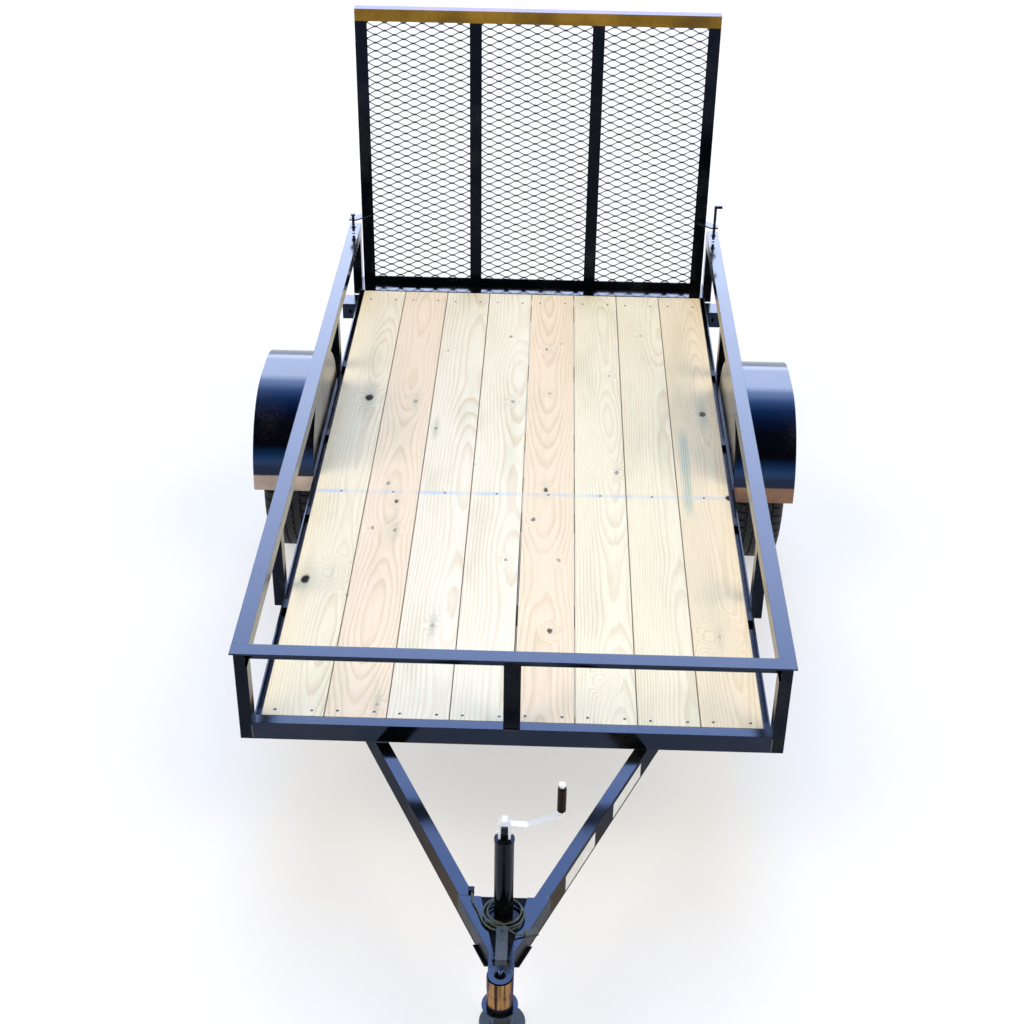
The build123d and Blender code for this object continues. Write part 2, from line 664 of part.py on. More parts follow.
seat_z = beam_z + axle_radius + spring_pad
leaf_count = len(leaf_half_spans)
main_low = seat_z + leaf_wall * (leaf_count - 1)       # underside of the main leaf at its middle
eye_half = leaf_half_spans[0]
leaf_rise = eye_height - eye_radius - main_low
bend = (eye_half ** 2 + leaf_rise ** 2) / (2 * leaf_rise)
bend_z = main_low + bend                               # centre of the leaves' arcs
with BuildPart() as spring:
    for index, half_span in enumerate(leaf_half_spans):
        outer = bend + leaf_wall * index
        inner = outer - leaf_wall
        reach = asin(half_span / bend)
        with BuildSketch(Plane.YZ.offset(spring_place - leaf_width / 2)):
            with BuildLine():
                tips = [(radius, sign * reach) for radius, sign in
                        ((outer, -1), (outer, 1), (inner, 1), (inner, -1))]
                corners = [(axle_y + radius * sin(turn), bend_z - radius * cos(turn))
                           for radius, turn in tips]
                ThreePointArc(corners[0], (axle_y, bend_z - outer), corners[1])
                Line(corners[1], corners[2])
                ThreePointArc(corners[2], (axle_y, bend_z - inner), corners[3])
                Line(corners[3], corners[0])
            make_face()
        extrude(amount=leaf_width)
    # eyes rolled up at both ends of the main leaf
    with BuildSketch(Plane.YZ.offset(spring_place - leaf_width / 2)):
        with Locations((axle_y - eye_half, eye_height), (axle_y + eye_half, eye_height)):
            Circle(eye_radius)
    extrude(amount=leaf_width)
    with BuildSketch(Plane.YZ.offset(spring_place - leaf_width / 2)):
        with Locations((axle_y - eye_half, eye_height), (axle_y + eye_half, eye_height)):
            Circle(eye_bore)
    extrude(amount=leaf_width, mode=Mode.SUBTRACT)
save_pair(spring.part, "leaf_spring")

strap_inner = leaf_width / 2 + hanger_gap
front_eye = axle_y - eye_half
rear_eye = axle_y + eye_half
shackle_y = rear_eye + shackle_back
shackle_z = eye_height + shackle_rise
with BuildPart() as hangers:
    for side in (-1, 1):
        strap_x = spring_place + (strap_inner if side > 0 else -strap_inner - hanger_wall)
        outer_x = spring_place + (strap_inner + hanger_wall if side > 0
                                  else -strap_inner - 2 * hanger_wall)
        # front hanger: tapers from the frame to the eye
        with BuildSketch(Plane.YZ.offset(strap_x)):
            with BuildLine():
                Polyline((front_eye - hanger_half, under_frame), (front_eye + hanger_half, under_frame),
                         (front_eye + hanger_tip, eye_height),
                         (front_eye + hanger_tip / 2, eye_height - hanger_tip),
                         (front_eye - hanger_tip / 2, eye_height - hanger_tip),
                         (front_eye - hanger_tip, eye_height), close=True)
            make_face()
        extrude(amount=hanger_wall)
        # shackle link, from the rear eye to its pin
        with BuildSketch(Plane.YZ.offset(strap_x)):
            with BuildLine():
                Line((rear_eye, eye_height), (shackle_y, shackle_z))
            trace(line_width=shackle_width)
            with Locations((rear_eye, eye_height), (shackle_y, shackle_z)):
                Circle(shackle_width / 2)
        extrude(amount=hanger_wall)
        # rear hanger outside the links
        with BuildSketch(Plane.YZ.offset(outer_x)):
            with BuildLine():
                Polyline((shackle_y - hanger_half, under_frame), (shackle_y + hanger_half, under_frame),
                         (shackle_y + shackle_width / 2, shackle_z - shackle_width / 2),
                         (shackle_y - shackle_width / 2, shackle_z - shackle_width / 2), close=True)
            make_face()
        extrude(amount=hanger_wall)
    # bolts through the eyes and the shackle's upper pin
    for bolt_y, bolt_z in ((front_eye, eye_height), (rear_eye, eye_height), (shackle_y, shackle_z)):
        with Locations(Plane((spring_place, bolt_y, bolt_z), z_dir=(1, 0, 0))):
            Cylinder(eye_bore - pin_clearance, 2 * (strap_inner + 2 * hanger_wall))
save_both(hangers.part, "spring_hangers")

# U-bolts and tie plate clamp each spring to the axle
tie_z = bend_z - sqrt((bend - leaf_wall) ** 2 - tie_half ** 2)
with BuildPart() as clamp:
    with BuildSketch(Plane.XY.offset(tie_z)):
        with Locations((spring_place, axle_y)):
            Rectangle(leaf_width + 2 * tie_overhang, 2 * tie_half)
    extrude(amount=wall)
    for side in (-1, 1):
        bolt_x = spring_place + side * (leaf_width / 2 + ubolt_radius + hanger_gap)
        loop = axle_radius + ubolt_radius + ubolt_gap
        with BuildLine():
            start = Line((bolt_x, axle_y - loop, tie_z + ubolt_tail), (bolt_x, axle_y - loop, beam_z))
            under = ThreePointArc(start @ 1, (bolt_x, axle_y, beam_z - loop), (bolt_x, axle_y + loop, beam_z))
            Line(under @ 1, (bolt_x, axle_y + loop, tie_z + ubolt_tail))
        with BuildSketch(Plane((bolt_x, axle_y - loop, tie_z + ubolt_tail), z_dir=(0, 0, -1))):
            RegularPolygon(ubolt_radius, 8)
        sweep()
save_both(clamp.part, "spring_clamps")

with BuildPart() as hub:
    with BuildSketch(Plane.XZ.offset(-axle_y)):
        with BuildLine():
            disc_x = wheel_track_half
            low = wheel_radius
            cap_x = disc_x + hub_cap
            Polyline((hub_inner, low - hub_bore), (hub_inner, low - hub_radius),
                     (disc_x - hub_flange_wall, low - hub_radius),
                     (disc_x - hub_flange_wall, low - hub_flange_radius), (disc_x, low - hub_flange_radius),
                     (disc_x, low - hub_radius + 2), (cap_x - hub_cap_bevel, low - hub_radius + 2),
                     (cap_x, low - hub_radius + 2 + hub_cap_bevel), (cap_x, low), (disc_x + 1, low),
                     (disc_x + 1, low - hub_bore), close=True)
        make_face()
    revolve(axis=Axis((0, axle_y, wheel_radius), (1, 0, 0)))
save_pair(hub.part, "hub")

rim_half = rim_width / 2
well_radius = bead_radius - rim_well
# half section of the rim's wall from its outer edge in to the drop centre: x from the middle, radius
rim_outside = (
    (rim_half, bead_radius),
    (rim_half - rim_seat, bead_radius),
    (rim_half - rim_seat - rim_slope, well_radius),
)
rim_inside = [(x - rim_wall / 2 if radius < bead_radius else x, radius - rim_wall)
              for x, radius in rim_outside]
with BuildPart() as rim:
    with BuildSketch(Plane.XZ.offset(-axle_y)):
        with BuildLine():
            ring = [(x, r) for x, r in rim_outside] + [(-x, r) for x, r in reversed(rim_outside)]
            ring += [(-x, r) for x, r in rim_inside] + [(x, r) for x, r in reversed(rim_inside)]
            Polyline(*[(wheel_track_half + x, wheel_radius - r) for x, r in ring], close=True)
        make_face()
        # dished disc, from the hub's face out to the drop centre
        with BuildLine():
            face = ((0, hub_radius + seat_gap), (0, disc_flat), (disc_dish, disc_ring[0]),
                    (disc_dish, well_radius - rim_wall))
            disc = [(x, r) for x, r in face] + [(x + rim_wall, r) for x, r in reversed(face)]
            Polyline(*[(wheel_track_half + x, wheel_radius - r) for x, r in disc], close=True)
        make_face()
    revolve(axis=Axis((0, axle_y, wheel_radius), (1, 0, 0)))
    with BuildSketch(Plane.YZ.offset(wheel_track_half - 1)):
        with Locations((axle_y, wheel_radius)):
            with PolarLocations(lug_circle, lug_count):
                Circle(lug_radius)
            with PolarLocations((disc_ring[0] + disc_ring[1]) / 2, vent_count):
                SlotOverall(*vent_size, rotation=90)
    extrude(amount=disc_dish + rim_wall + 2, mode=Mode.SUBTRACT)
save_pair(rim.part, "rim")

tyre_half = tyre_width / 2
# half section from the bead out to the middle of the tread: x from the middle plane, radius
tyre_outside = (
    (rim_half, bead_radius),
    (tyre_half, sidewall_radius),
    tread_shoulder,
    (tread_half, wheel_radius),
)
with BuildPart() as tyre:
    with BuildSketch(Plane.XZ.offset(-axle_y)):
        with BuildLine():
            ring = [(x, r) for x, r in tyre_outside] + [(-x, r) for x, r in reversed(tyre_outside)]
            Polyline(*[(wheel_track_half + x, wheel_radius - r) for x, r in ring], close=True)
        make_face()
    revolve(axis=Axis((0, axle_y, wheel_radius), (1, 0, 0)))
save_pair(tyre.part, "tyre")

# ================================================================ fenders
fender_flat = fender_half - fender_corner
fender_z = deck + fender_top - fender_corner
fender_low = deck + fender_end


def fender_outline(inset):
    """Flat top between two quarter rounds, straight ends, set in by the given amount."""
    half = fender_half - inset
    radius = fender_corner - inset
    top = fender_z + radius
    diagonal = radius * sin(radians(45))
    Line((axle_y - half, fender_low), (axle_y - half, fender_z))
    ThreePointArc((axle_y - half, fender_z), (axle_y - fender_flat - diagonal, fender_z + diagonal),
                  (axle_y - fender_flat, top))
    Line((axle_y - fender_flat, top), (axle_y + fender_flat, top))
    ThreePointArc((axle_y + fender_flat, top), (axle_y + fender_flat + diagonal, fender_z + diagonal),
                  (axle_y + half, fender_z))
    Line((axle_y + half, fender_z), (axle_y + half, fender_low))
    Line((axle_y + half, fender_low), (axle_y - half, fender_low))


with BuildPart() as fender:
    with BuildSketch(Plane.YZ.offset(side_half)):
        with BuildLine():
            fender_outline(0)
        make_face()
        with BuildLine():
            fender_outline(fender_skin)
        make_face(mode=Mode.SUBTRACT)
    extrude(amount=fender_width)
    with BuildSketch(Plane.YZ.offset(side_half)):
        with BuildLine():
            fender_outline(0)
        make_face()
    extrude(amount=fender_skin)
    with BuildSketch(Plane.YZ.offset(side_half + fender_width - fender_skin)):
        with BuildLine():
            fender_outline(0)
        make_face()
        with BuildLine():
            fender_outline(fender_lip)
        make_face(mode=Mode.SUBTRACT)
    extrude(amount=fender_skin)
    # lower ends are open between the skins
    with Locations((side_half + fender_skin, axle_y, fender_low)):
        Box(fender_width, 2 * (fender_half - fender_skin), fender_lip,
            align=(Align.MIN, Align.CENTER, Align.MIN), mode=Mode.SUBTRACT)
    # clear of the rail's leg
    with Locations((side_half, axle_y, leg_bottom)):
        Box(wall, 2 * fender_half, rail_leg, align=(Align.MIN, Align.CENTER, Align.MIN),
            mode=Mode.SUBTRACT)
save_pair(fender.part, "fender")

# ================================================================ tail lamps
box_top = deck - lamp_box_drop
box_mid = (side_half + lamp_box_width / 2, box_top - lamp_box_height / 2)
box_front = rear - lamp_box_place
with BuildPart() as lamp_box:
    with BuildSketch(Plane.XZ.offset(-box_front)):
        with Locations(box_mid):
            RectangleRounded(lamp_box_width, lamp_box_height, lamp_round)
    extrude(amount=-lamp_box_length)
    with BuildSketch(Plane.XZ.offset(-box_front - lamp_box_wall)):
        with Locations(box_mid):
            Rectangle(lamp_box_width - 2 * lamp_box_wall, lamp_box_height - 2 * lamp_box_wall)
    extrude(amount=-lamp_box_length, mode=Mode.SUBTRACT)
    # wiring hole in the front face
    with BuildSketch(Plane.XZ.offset(-box_front)):
        with Locations(box_mid):
            SlotOverall(*wire_hole, rotation=90)
    extrude(amount=-2 * lamp_box_wall, mode=Mode.SUBTRACT)
save_both(lamp_box.part, "lamp_boxes")

with BuildPart() as tail_lamp:
    with BuildSketch(Plane.XZ.offset(-box_front - lamp_box_length + lamp_seat)):
        with Locations(box_mid):
            Rectangle(lamp_box_width - 2 * lamp_box_wall, lamp_box_height - 2 * lamp_box_wall)
    extrude(amount=-lamp_seat - lamp_proud)
    fillet(tail_lamp.edges().group_by(Axis.Y)[-1], lamp_round)
save_both(tail_lamp.part, "tail_lamps")

# ================================================================ ramp gate
gate_bottom = deck + gate_low
gate_top = deck + gate_high
gate_mid = (0, (gate_bottom + gate_top) / 2)
gate_tall = gate_top - gate_bottom
bay_edge = gate_upright - gate_bar / 2
with BuildPart() as gate_frame:
    # flat faces of the bars
    with BuildSketch(Plane.XZ.offset(-gate_y)):
        with Locations(gate_mid):
            Rectangle(2 * gate_half, gate_tall)
            Rectangle(2 * bay_edge, gate_tall - 2 * gate_bar, mode=Mode.SUBTRACT)
        for side in (-1, 1):
            bay_wide = gate_half - gate_bar - gate_upright - gate_bar / 2
            with Locations((side * (gate_upright + gate_bar / 2 + bay_wide / 2), gate_mid[1])):
                Rectangle(bay_wide, gate_tall - 2 * gate_bar, mode=Mode.SUBTRACT)
    extrude(amount=-wall)
    # rearward legs round the edge, and one on each upright
    with BuildSketch(Plane.XZ.offset(-gate_y)):
        with Locations(gate_mid):
            Rectangle(2 * gate_half, gate_tall)
            Rectangle(2 * (gate_half - wall), gate_tall - 2 * wall, mode=Mode.SUBTRACT)
            for side in (-1, 1):
                with Locations((side * (gate_upright + gate_bar / 2 - wall / 2), 0)):
                    Rectangle(wall, gate_tall)
    extrude(amount=-gate_depth)
save(gate_frame.part, "gate_frame")

mesh_high = gate_tall - 2 * wall - 2 * mesh_gap
rib = gate_upright + gate_bar / 2
mesh_bays = (
    (-(gate_half - wall - mesh_gap), -(rib + mesh_gap)),
    (-(rib - wall - mesh_gap), rib - wall - mesh_gap),
    (rib + mesh_gap, gate_half - wall - mesh_gap),
)
with BuildPart() as gate_mesh:
    for low_x, high_x in mesh_bays:
        open_wide = high_x - low_x - 2 * (gate_bar - wall)
        open_high = mesh_high - 2 * (gate_bar - wall)
        across = round(open_wide / mesh_pitch_x)
        upward = round(open_high / mesh_pitch_z)
        pitch_x = open_wide / across
        pitch_z = open_high / upward
        half_x = pitch_x / 2 - mesh_strand
        half_z = pitch_z / 2 - mesh_strand / 2
        bay_middle = ((low_x + high_x) / 2, gate_mid[1])
        # rows of diamonds, every other row shifted by half a diamond and cut at the bars
        with BuildSketch(Plane.XZ.offset(-gate_y - wall), mode=Mode.PRIVATE) as diamonds:
            with Locations(bay_middle):
                for extra in (0, 1):
                    with GridLocations(pitch_x, pitch_z, across + extra, upward + extra):
                        Polygon((-half_x, 0), (0, -half_z), (half_x, 0), (0, half_z), align=None)
                Rectangle(open_wide, open_high, mode=Mode.INTERSECT)
        with BuildSketch(Plane.XZ.offset(-gate_y - wall)):
            with Locations(bay_middle):
                Rectangle(high_x - low_x, mesh_high)
            add(diamonds.sketch_local, mode=Mode.SUBTRACT)
        extrude(amount=-mesh_wall)
save(gate_mesh.part, "gate_mesh")

# lugs under the bottom bar carry the pins, between them the barrels of the trailer's frame
barrel_length = hinge_length - 2 * (lug_wall + lug_gap)
with BuildPart() as gate_hinges:
    for side in (-1, 1):
        lug_first = side * hinge_place - hinge_length / 2
        for lug_x in (lug_first, lug_first + hinge_length - lug_wall):
            with BuildSketch(Plane.YZ.offset(lug_x)):
                with BuildLine():
                    Polyline((hinge_y - lug_waist, hinge_z), (gate_y + lug_foot[0], gate_bottom),
                             (gate_y + lug_foot[1], gate_bottom),
                             (hinge_y + lug_waist, hinge_z - hinge_radius + 1), close=True)
                make_face()
                with Locations((hinge_y, hinge_z)):
                    Circle(hinge_radius)
            extrude(amount=lug_wall)
        with Locations(Plane((side * hinge_place, hinge_y, hinge_z), z_dir=(1, 0, 0))):
            Cylinder(pin_radius, hinge_length)
save(gate_hinges.part, "gate_hinges")

with BuildPart() as barrels:
    for side in (-1, 1):
        with BuildSketch(Plane.YZ.offset(side * hinge_place - barrel_length / 2)):
            with BuildLine():
                Polyline((rear, hinge_z - hinge_radius), (hinge_y, hinge_z - hinge_radius),
                         (hinge_y, hinge_z + lug_waist / 2), (rear, hinge_z + 2 * lug_waist), close=True)
            make_face()
            with Locations((hinge_y, hinge_z)):
                Circle(hinge_radius)
                Circle(pin_radius + pin_clearance, mode=Mode.SUBTRACT)
        extrude(amount=barrel_length)
save(barrels.part, "hinge_barrels")

# latches: a lug ahead of the gate at each side, its pin drawn up out of the rail
pin_low = rail_top + latch_lift
lug_z = deck + latch_height
latch_y = gate_y - latch_pin_place
lug_front = gate_y - latch_reach
root_x = gate_half - latch_root
for side_name, pin_top in latch_pin_tops.items():
    with BuildPart() as latch:
        with BuildSketch(Plane.XY.offset(lug_z)):
            with BuildLine():
                Polyline((root_x, gate_y), (root_x, gate_y - latch_root / 2),
                         (latch_pin_x - latch_round, lug_front), (latch_pin_x + latch_round, lug_front),
                         (latch_pin_x + latch_round, latch_y + latch_round), (gate_half, gate_y - wall),
                         (gate_half, gate_y), close=True)
            make_face()
        extrude(amount=latch_wall)
        handle_z = deck + pin_top
        for low, tall, radius in ((pin_low, handle_z - pin_low, latch_pin_radius),
                                  (pin_low + latch_collar[2], latch_collar[1],
                                   latch_pin_radius + latch_collar[0])):
            with BuildSketch(Plane.XY.offset(low)):
                with Locations((latch_pin_x, latch_y)):
                    Circle(radius)
            extrude(amount=tall)
        if side_name == "left":
            # plain head
            with BuildSketch(Plane.XY.offset(handle_z)):
                with Locations((latch_pin_x, latch_y)):
                    Circle(latch_pin_radius + latch_collar[0])
            extrude(amount=latch_collar[1])
        else:
            # end turned over outwards
            with Locations((latch_pin_x - latch_pin_radius, latch_y, handle_z)):
                Box(latch_handle, 2 * latch_pin_radius, 2 * latch_pin_radius,
                    align=(Align.MIN, Align.CENTER, Align.MAX))
    made = latch.part if side_name == "right" else mirror(latch.part, about=Plane.YZ)
    save(made, f"gate_latch_{side_name}")

# ================================================================ lighting cord
coil_centre = (0, jack_y - coil_ahead)
coil_low = pan_top + wall + seat_gap
with BuildPart() as coil:
    with BuildSketch(Plane.XY.offset(coil_low)):
        with Locations(coil_centre):
            Circle(coil_outer)
            Circle(coil_inner, mode=Mode.SUBTRACT)
    extrude(amount=coil_height)
save(coil.part, "cord_coil")

# points of each free stretch: x, distance ahead of the front face, height above the coupler plate
lead_route = ((-86, 605, 4.0), (-86, 632, 4.0), (-74, 660, 4.6), (-55, 682, 7.0))
tail_route = ((-13, 740, 7.0), (8, 757, 4.5), (36, 757, 4.8), (58, 750, 5.2))


def cord_points(route):
    """Route's points in the trailer's frame."""
    return [Vector(x, front - ahead, plate_top + height) for x, ahead, height in route]


def cord_tube(name, points):
    """Tube on straight runs joined by arcs as large as the runs allow."""
    runs = [b - a for a, b in zip(points, points[1:])]
    bends = []
    for before, after in zip(runs, runs[1:]):
        half_turn = radians(before.get_angle(after)) / 2
        bends.append(0.45 * min(before.length, after.length) / tan(half_turn))
    with BuildPart() as tube:
        with BuildLine() as path:
            FilletPolyline(*points, radius=bends)
        with BuildSketch(Plane(points[0], z_dir=runs[0])):
            Circle(cord_radius)
        sweep()
    length = sum(edge.length for edge in path.edges())
    print(name, "bend radii", [round(bend, 1) for bend in bends], "length", round(length, 1),
          "volume ratio", round(tube.part.volume / (pi * cord_radius ** 2 * length), 4))
    save(tube.part, name)


lead_points = cord_points(lead_route)
tail_points = cord_points(tail_route)
cord_tube("cord_lead", lead_points)
cord_tube("cord_tail", tail_points)

clip_y = lead_points[0].Y
with BuildPart() as clip:
    with Locations((lead_points[0].X - 2, clip_y, under_frame)):
        Box(*clip_size, align=(Align.CENTER, Align.MIN, Align.MIN))
save(clip.part, "cord_clip")

with BuildPart() as plug:
    with Locations(Plane(tail_points[-1], z_dir=tail_points[-1] - tail_points[-2], x_dir=(0, 0, 1))):
        Box(plug_size[2], plug_size[1], plug_size[0], align=(Align.CENTER, Align.CENTER, Align.MIN))
save(plug.part, "cord_plug")
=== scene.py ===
from math import cos, pi, radians, sin, tan

import bmesh
import bpy
import numpy as np
from mathutils import Matrix, Vector


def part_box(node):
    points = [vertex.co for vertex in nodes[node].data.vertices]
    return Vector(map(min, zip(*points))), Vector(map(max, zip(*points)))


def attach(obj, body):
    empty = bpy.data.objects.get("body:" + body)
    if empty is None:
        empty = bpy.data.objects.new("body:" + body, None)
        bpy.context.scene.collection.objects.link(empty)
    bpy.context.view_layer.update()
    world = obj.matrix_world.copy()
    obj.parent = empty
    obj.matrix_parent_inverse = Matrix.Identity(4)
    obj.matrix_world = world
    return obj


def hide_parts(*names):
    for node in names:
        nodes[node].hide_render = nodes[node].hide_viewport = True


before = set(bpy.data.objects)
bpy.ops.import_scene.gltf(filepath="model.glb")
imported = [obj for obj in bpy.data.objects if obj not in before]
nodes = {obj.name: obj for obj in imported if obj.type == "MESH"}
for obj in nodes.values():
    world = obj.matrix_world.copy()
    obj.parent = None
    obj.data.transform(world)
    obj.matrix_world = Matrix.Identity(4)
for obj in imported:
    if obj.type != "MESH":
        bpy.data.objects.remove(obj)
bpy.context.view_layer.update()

scene = bpy.context.scene
print("frame loaded")

# places shared by the pieces below, in metres
frontY = -1.077             # front face of the bed's front beam
deckZ = 0.480               # top of the boards
frameZ = 0.419              # underside of the frame
jackY = frontY - 0.673      # middle of the jack
axleY = 0.686               # the wheels' axis
axleZ = 0.338
wheelX = 0.875              # middle planes of the wheels
springX = 0.688             # middle planes of the leaf springs


# sRGB hex text to linear RGBA
def toLinear(hexText, alpha=1.0):
    srgb = [int(hexText[i:i + 2], 16) / 255 for i in (1, 3, 5)]
    return (*[c / 12.92 if c <= 0.04045 else ((c + 0.055) / 1.055) ** 2.4 for c in srgb], alpha)


# one shader node with its settings; an input is a value, a node (its first output) or an output
def addNode(tree, kind, inputs=None, **settings):
    node = tree.nodes.new("ShaderNode" + kind)
    for name, value in settings.items():
        setattr(node, name, value)
    for key, value in (inputs or {}).items():
        if isinstance(value, bpy.types.Node):
            value = value.outputs[0]
        if isinstance(value, bpy.types.NodeSocket):
            tree.links.new(value, node.inputs[key])
        else:
            node.inputs[key].default_value = value
    return node


# a material with its Principled shader's constant settings, and its Object coordinates
def newMaterial(name, **settings):
    made = bpy.data.materials.new(name)
    made.use_nodes = True
    tree = made.node_tree
    shader = tree.nodes["Principled BSDF"]
    for key, value in settings.items():
        shader.inputs[key.replace("_", " ")].default_value = value
    return made, tree, shader, addNode(tree, "TexCoord").outputs["Object"]


# links a material's colour, roughness and relief to its shader
def link(tree, shader, colour, rough, bump):
    for key, value in (("Base Color", colour), ("Roughness", rough), ("Normal", bump)):
        tree.links.new(value.outputs[0], shader.inputs[key])


# gives a colour ramp its stops of place and linear colour
def fillRamp(ramp, stops):
    elements = ramp.color_ramp.elements
    for at, colour in stops:
        stop = elements[0] if at == 0 else elements[-1] if at == 1 else elements.new(at)
        stop.color = colour


# gives a node or a piece one material
def paint(name, material):
    mesh = nodes[name].data if isinstance(name, str) else name.data
    mesh.materials.clear()
    mesh.materials.append(material)


# camera above and ahead of the tongue, looking back and down over the bed; angles in radians
camera = {"place": (0.0777, -4.863, 3.675), "yaw": -0.019, "pitch": -0.571, "roll": 0.016,
          "lens": 58.66, "shift": -0.00484}
yaw, pitch, roll = camera["yaw"], camera["pitch"], camera["roll"]
ahead = Vector((sin(yaw) * cos(pitch), cos(yaw) * cos(pitch), sin(pitch)))
level = Vector((cos(yaw), -sin(yaw), 0))
upward = level.cross(ahead)
across = cos(roll) * level + sin(roll) * upward
above = -sin(roll) * level + cos(roll) * upward
cameraData = bpy.data.cameras.new("camera")
cameraData.lens = camera["lens"]
cameraData.shift_x = camera["shift"]
cameraObject = bpy.data.objects.new("camera", cameraData)
scene.collection.objects.link(cameraObject)
turn = Matrix((across, above, -ahead)).transposed().to_4x4()
cameraObject.matrix_world = Matrix.Translation(camera["place"]) @ turn
scene.camera = cameraObject
scene.view_settings.view_transform = "Standard"
print("camera set")

# lighting cord: a lead from its clip, loose turns round the jack, a tail to its plug
cord = {"diameter": 0.005, "turns": 3.24, "outer": 0.0608, "pitch": 0.0057, "low": 0.4303,
        "rise": 0.0043, "middle": (0.0, jackY - 0.011)}
leadPoints = [(-0.086, frontY - 0.605, 0.428), (-0.086, frontY - 0.630, 0.428),
              (-0.078, frontY - 0.650, 0.4285), (-0.068, frontY - 0.668, 0.4295)]
tailPoints = [(0.010, frontY - 0.7440, 0.4440), (0.026, frontY - 0.7530, 0.4375),
              (0.042, frontY - 0.7550, 0.4296), (0.058, frontY - 0.750, 0.4292)]


# loose spiral, narrowing by the pitch and rising a little each turn, with uneven turns off centre
def coilPoints(count):
    t = np.linspace(0.02, cord["turns"], count)
    phi = pi + 2 * pi * t
    loose = np.clip(t, 0, 1) * np.clip((cord["turns"] - t) / 0.6, 0, 1)
    r = cord["outer"] - cord["pitch"] * t + 0.0024 * loose * np.sin(1.62 * phi + 1.0)
    x = cord["middle"][0] + r * np.cos(phi) + 0.0022 * loose * np.sin(0.7 * phi)
    y = cord["middle"][1] + r * np.sin(phi) - 0.0015 * loose * np.cos(0.9 * phi)
    z = cord["low"] + cord["rise"] * t + 0.0008 * loose * np.sin(2.3 * phi)
    return list(zip(x, y, z))


cordCurve = bpy.data.curves.new("harnessCord", "CURVE")
cordCurve.dimensions = "3D"
cordCurve.bevel_depth = 1.0      # times each point's own radius
cordCurve.bevel_resolution = 4
cordCurve.use_fill_caps = True
spline = cordCurve.splines.new("NURBS")
route = leadPoints + coilPoints(52) + tailPoints
spline.points.add(len(route) - 1)
spline.points.foreach_set("co", np.array([(*p, 1.0) for p in route]).ravel())
spline.points.foreach_set("radius", np.full(len(route), cord["diameter"] / 2))
spline.order_u = 3
spline.use_endpoint_u = True
spline.resolution_u = 4
cordCurve.resolution_u = 4
harnessCord = bpy.data.objects.new("harnessCord", cordCurve)
scene.collection.objects.link(harnessCord)
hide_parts("cord_lead", "cord_coil", "cord_tail")
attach(harnessCord, "trailer")
print("cord laid")

floor = {"half": 60, "tone": "#bababa", "glow": 0.52}
floorMesh = bpy.data.meshes.new("floor")
half = floor["half"]
floorMesh.from_pydata([(-half, -half, 0), (half, -half, 0), (half, half, 0), (-half, half, 0)], [],
                      [(0, 1, 2, 3)])
floorObject = bpy.data.objects.new("floor", floorMesh)
scene.collection.objects.link(floorObject)
# matt white floor, a little brighter where it is seen or mirrored, so that it reads as plain white
floorMaterial, tree, shader, coords = newMaterial("mattWhiteFloor", Roughness=0.95)
shader.inputs["Base Color"].default_value = toLinear(floor["tone"])
shader.inputs["Emission Color"].default_value = (1, 1, 1, 1)
rays = addNode(tree, "LightPath")
seenRay = addNode(tree, "Math", {0: rays.outputs["Is Camera Ray"], 1: rays.outputs["Is Glossy Ray"]},
                  operation="ADD")
seenRay = addNode(tree, "Math", {0: seenRay, 1: rays.outputs["Is Transmission Ray"]}, operation="ADD",
                  use_clamp=True)
glow = addNode(tree, "Math", {0: seenRay, 1: floor["glow"]}, operation="MULTIPLY")
tree.links.new(glow.outputs[0], shader.inputs["Emission Strength"])
paint(floorObject, floorMaterial)

# sky: brightness and colour by the angle over the bed from behind the gate (0) up and forward (1), and
# only a pale band at the horizon to the sides
sky = {"strength": 7.6, "side": (0.19, 0.32), "bandTop": (0.08, 0.30), "band": "#a8b4c6",
       "bandStrength": 2.6,
       "angles": ((0.0, "#6f7682"), (0.06, "#777f8d"), (0.10, "#e4edff"), (0.175, "#d6e3ff"),
                  (0.21, "#c3d2f0"), (0.235, "#a3b8de"), (0.28, "#a9c0e2"), (0.35, "#6584b0"),
                  (0.44, "#28527c"), (0.54, "#12284e"), (0.64, "#060e1c"), (0.84, "#040509"),
                  (0.91, "#335f7e"), (0.96, "#6a879f"), (1.0, "#737a86"))}
world = bpy.data.worlds.new("studio")
scene.world = world
world.use_nodes = True
tree = world.node_tree
tree.nodes.clear()
way = addNode(tree, "SeparateXYZ", {0: addNode(tree, "TexCoord").outputs["Generated"]})
wayX, wayY, wayZ = way.outputs
over = addNode(tree, "Math", {0: wayZ, 1: wayY}, operation="ARCTAN2")
over = addNode(tree, "Math", {0: over, 1: 1 / pi}, operation="MULTIPLY", use_clamp=True)
arch = addNode(tree, "ValToRGB", {0: over})
fillRamp(arch, [(at, toLinear(tint)) for at, tint in sky["angles"]])
outward = addNode(tree, "Math", {0: wayX}, operation="ABSOLUTE")
middle = addNode(tree, "MapRange", {"Value": outward, "From Min": sky["side"][1],
                                    "From Max": sky["side"][0]}, interpolation_type="SMOOTHSTEP")
band = addNode(tree, "MapRange", {"Value": wayZ, "From Min": sky["bandTop"][1],
                                  "From Max": sky["bandTop"][0]}, interpolation_type="SMOOTHSTEP")
archPart = addNode(tree, "Background", {"Color": arch, "Strength": sky["strength"]})
bandAmount = addNode(tree, "Math", {0: band, 1: sky["bandStrength"]}, operation="MULTIPLY")
bandPart = addNode(tree, "Background", {"Color": toLinear(sky["band"]), "Strength": bandAmount})
whole = addNode(tree, "MixShader", {0: middle, 1: bandPart, 2: archPart})
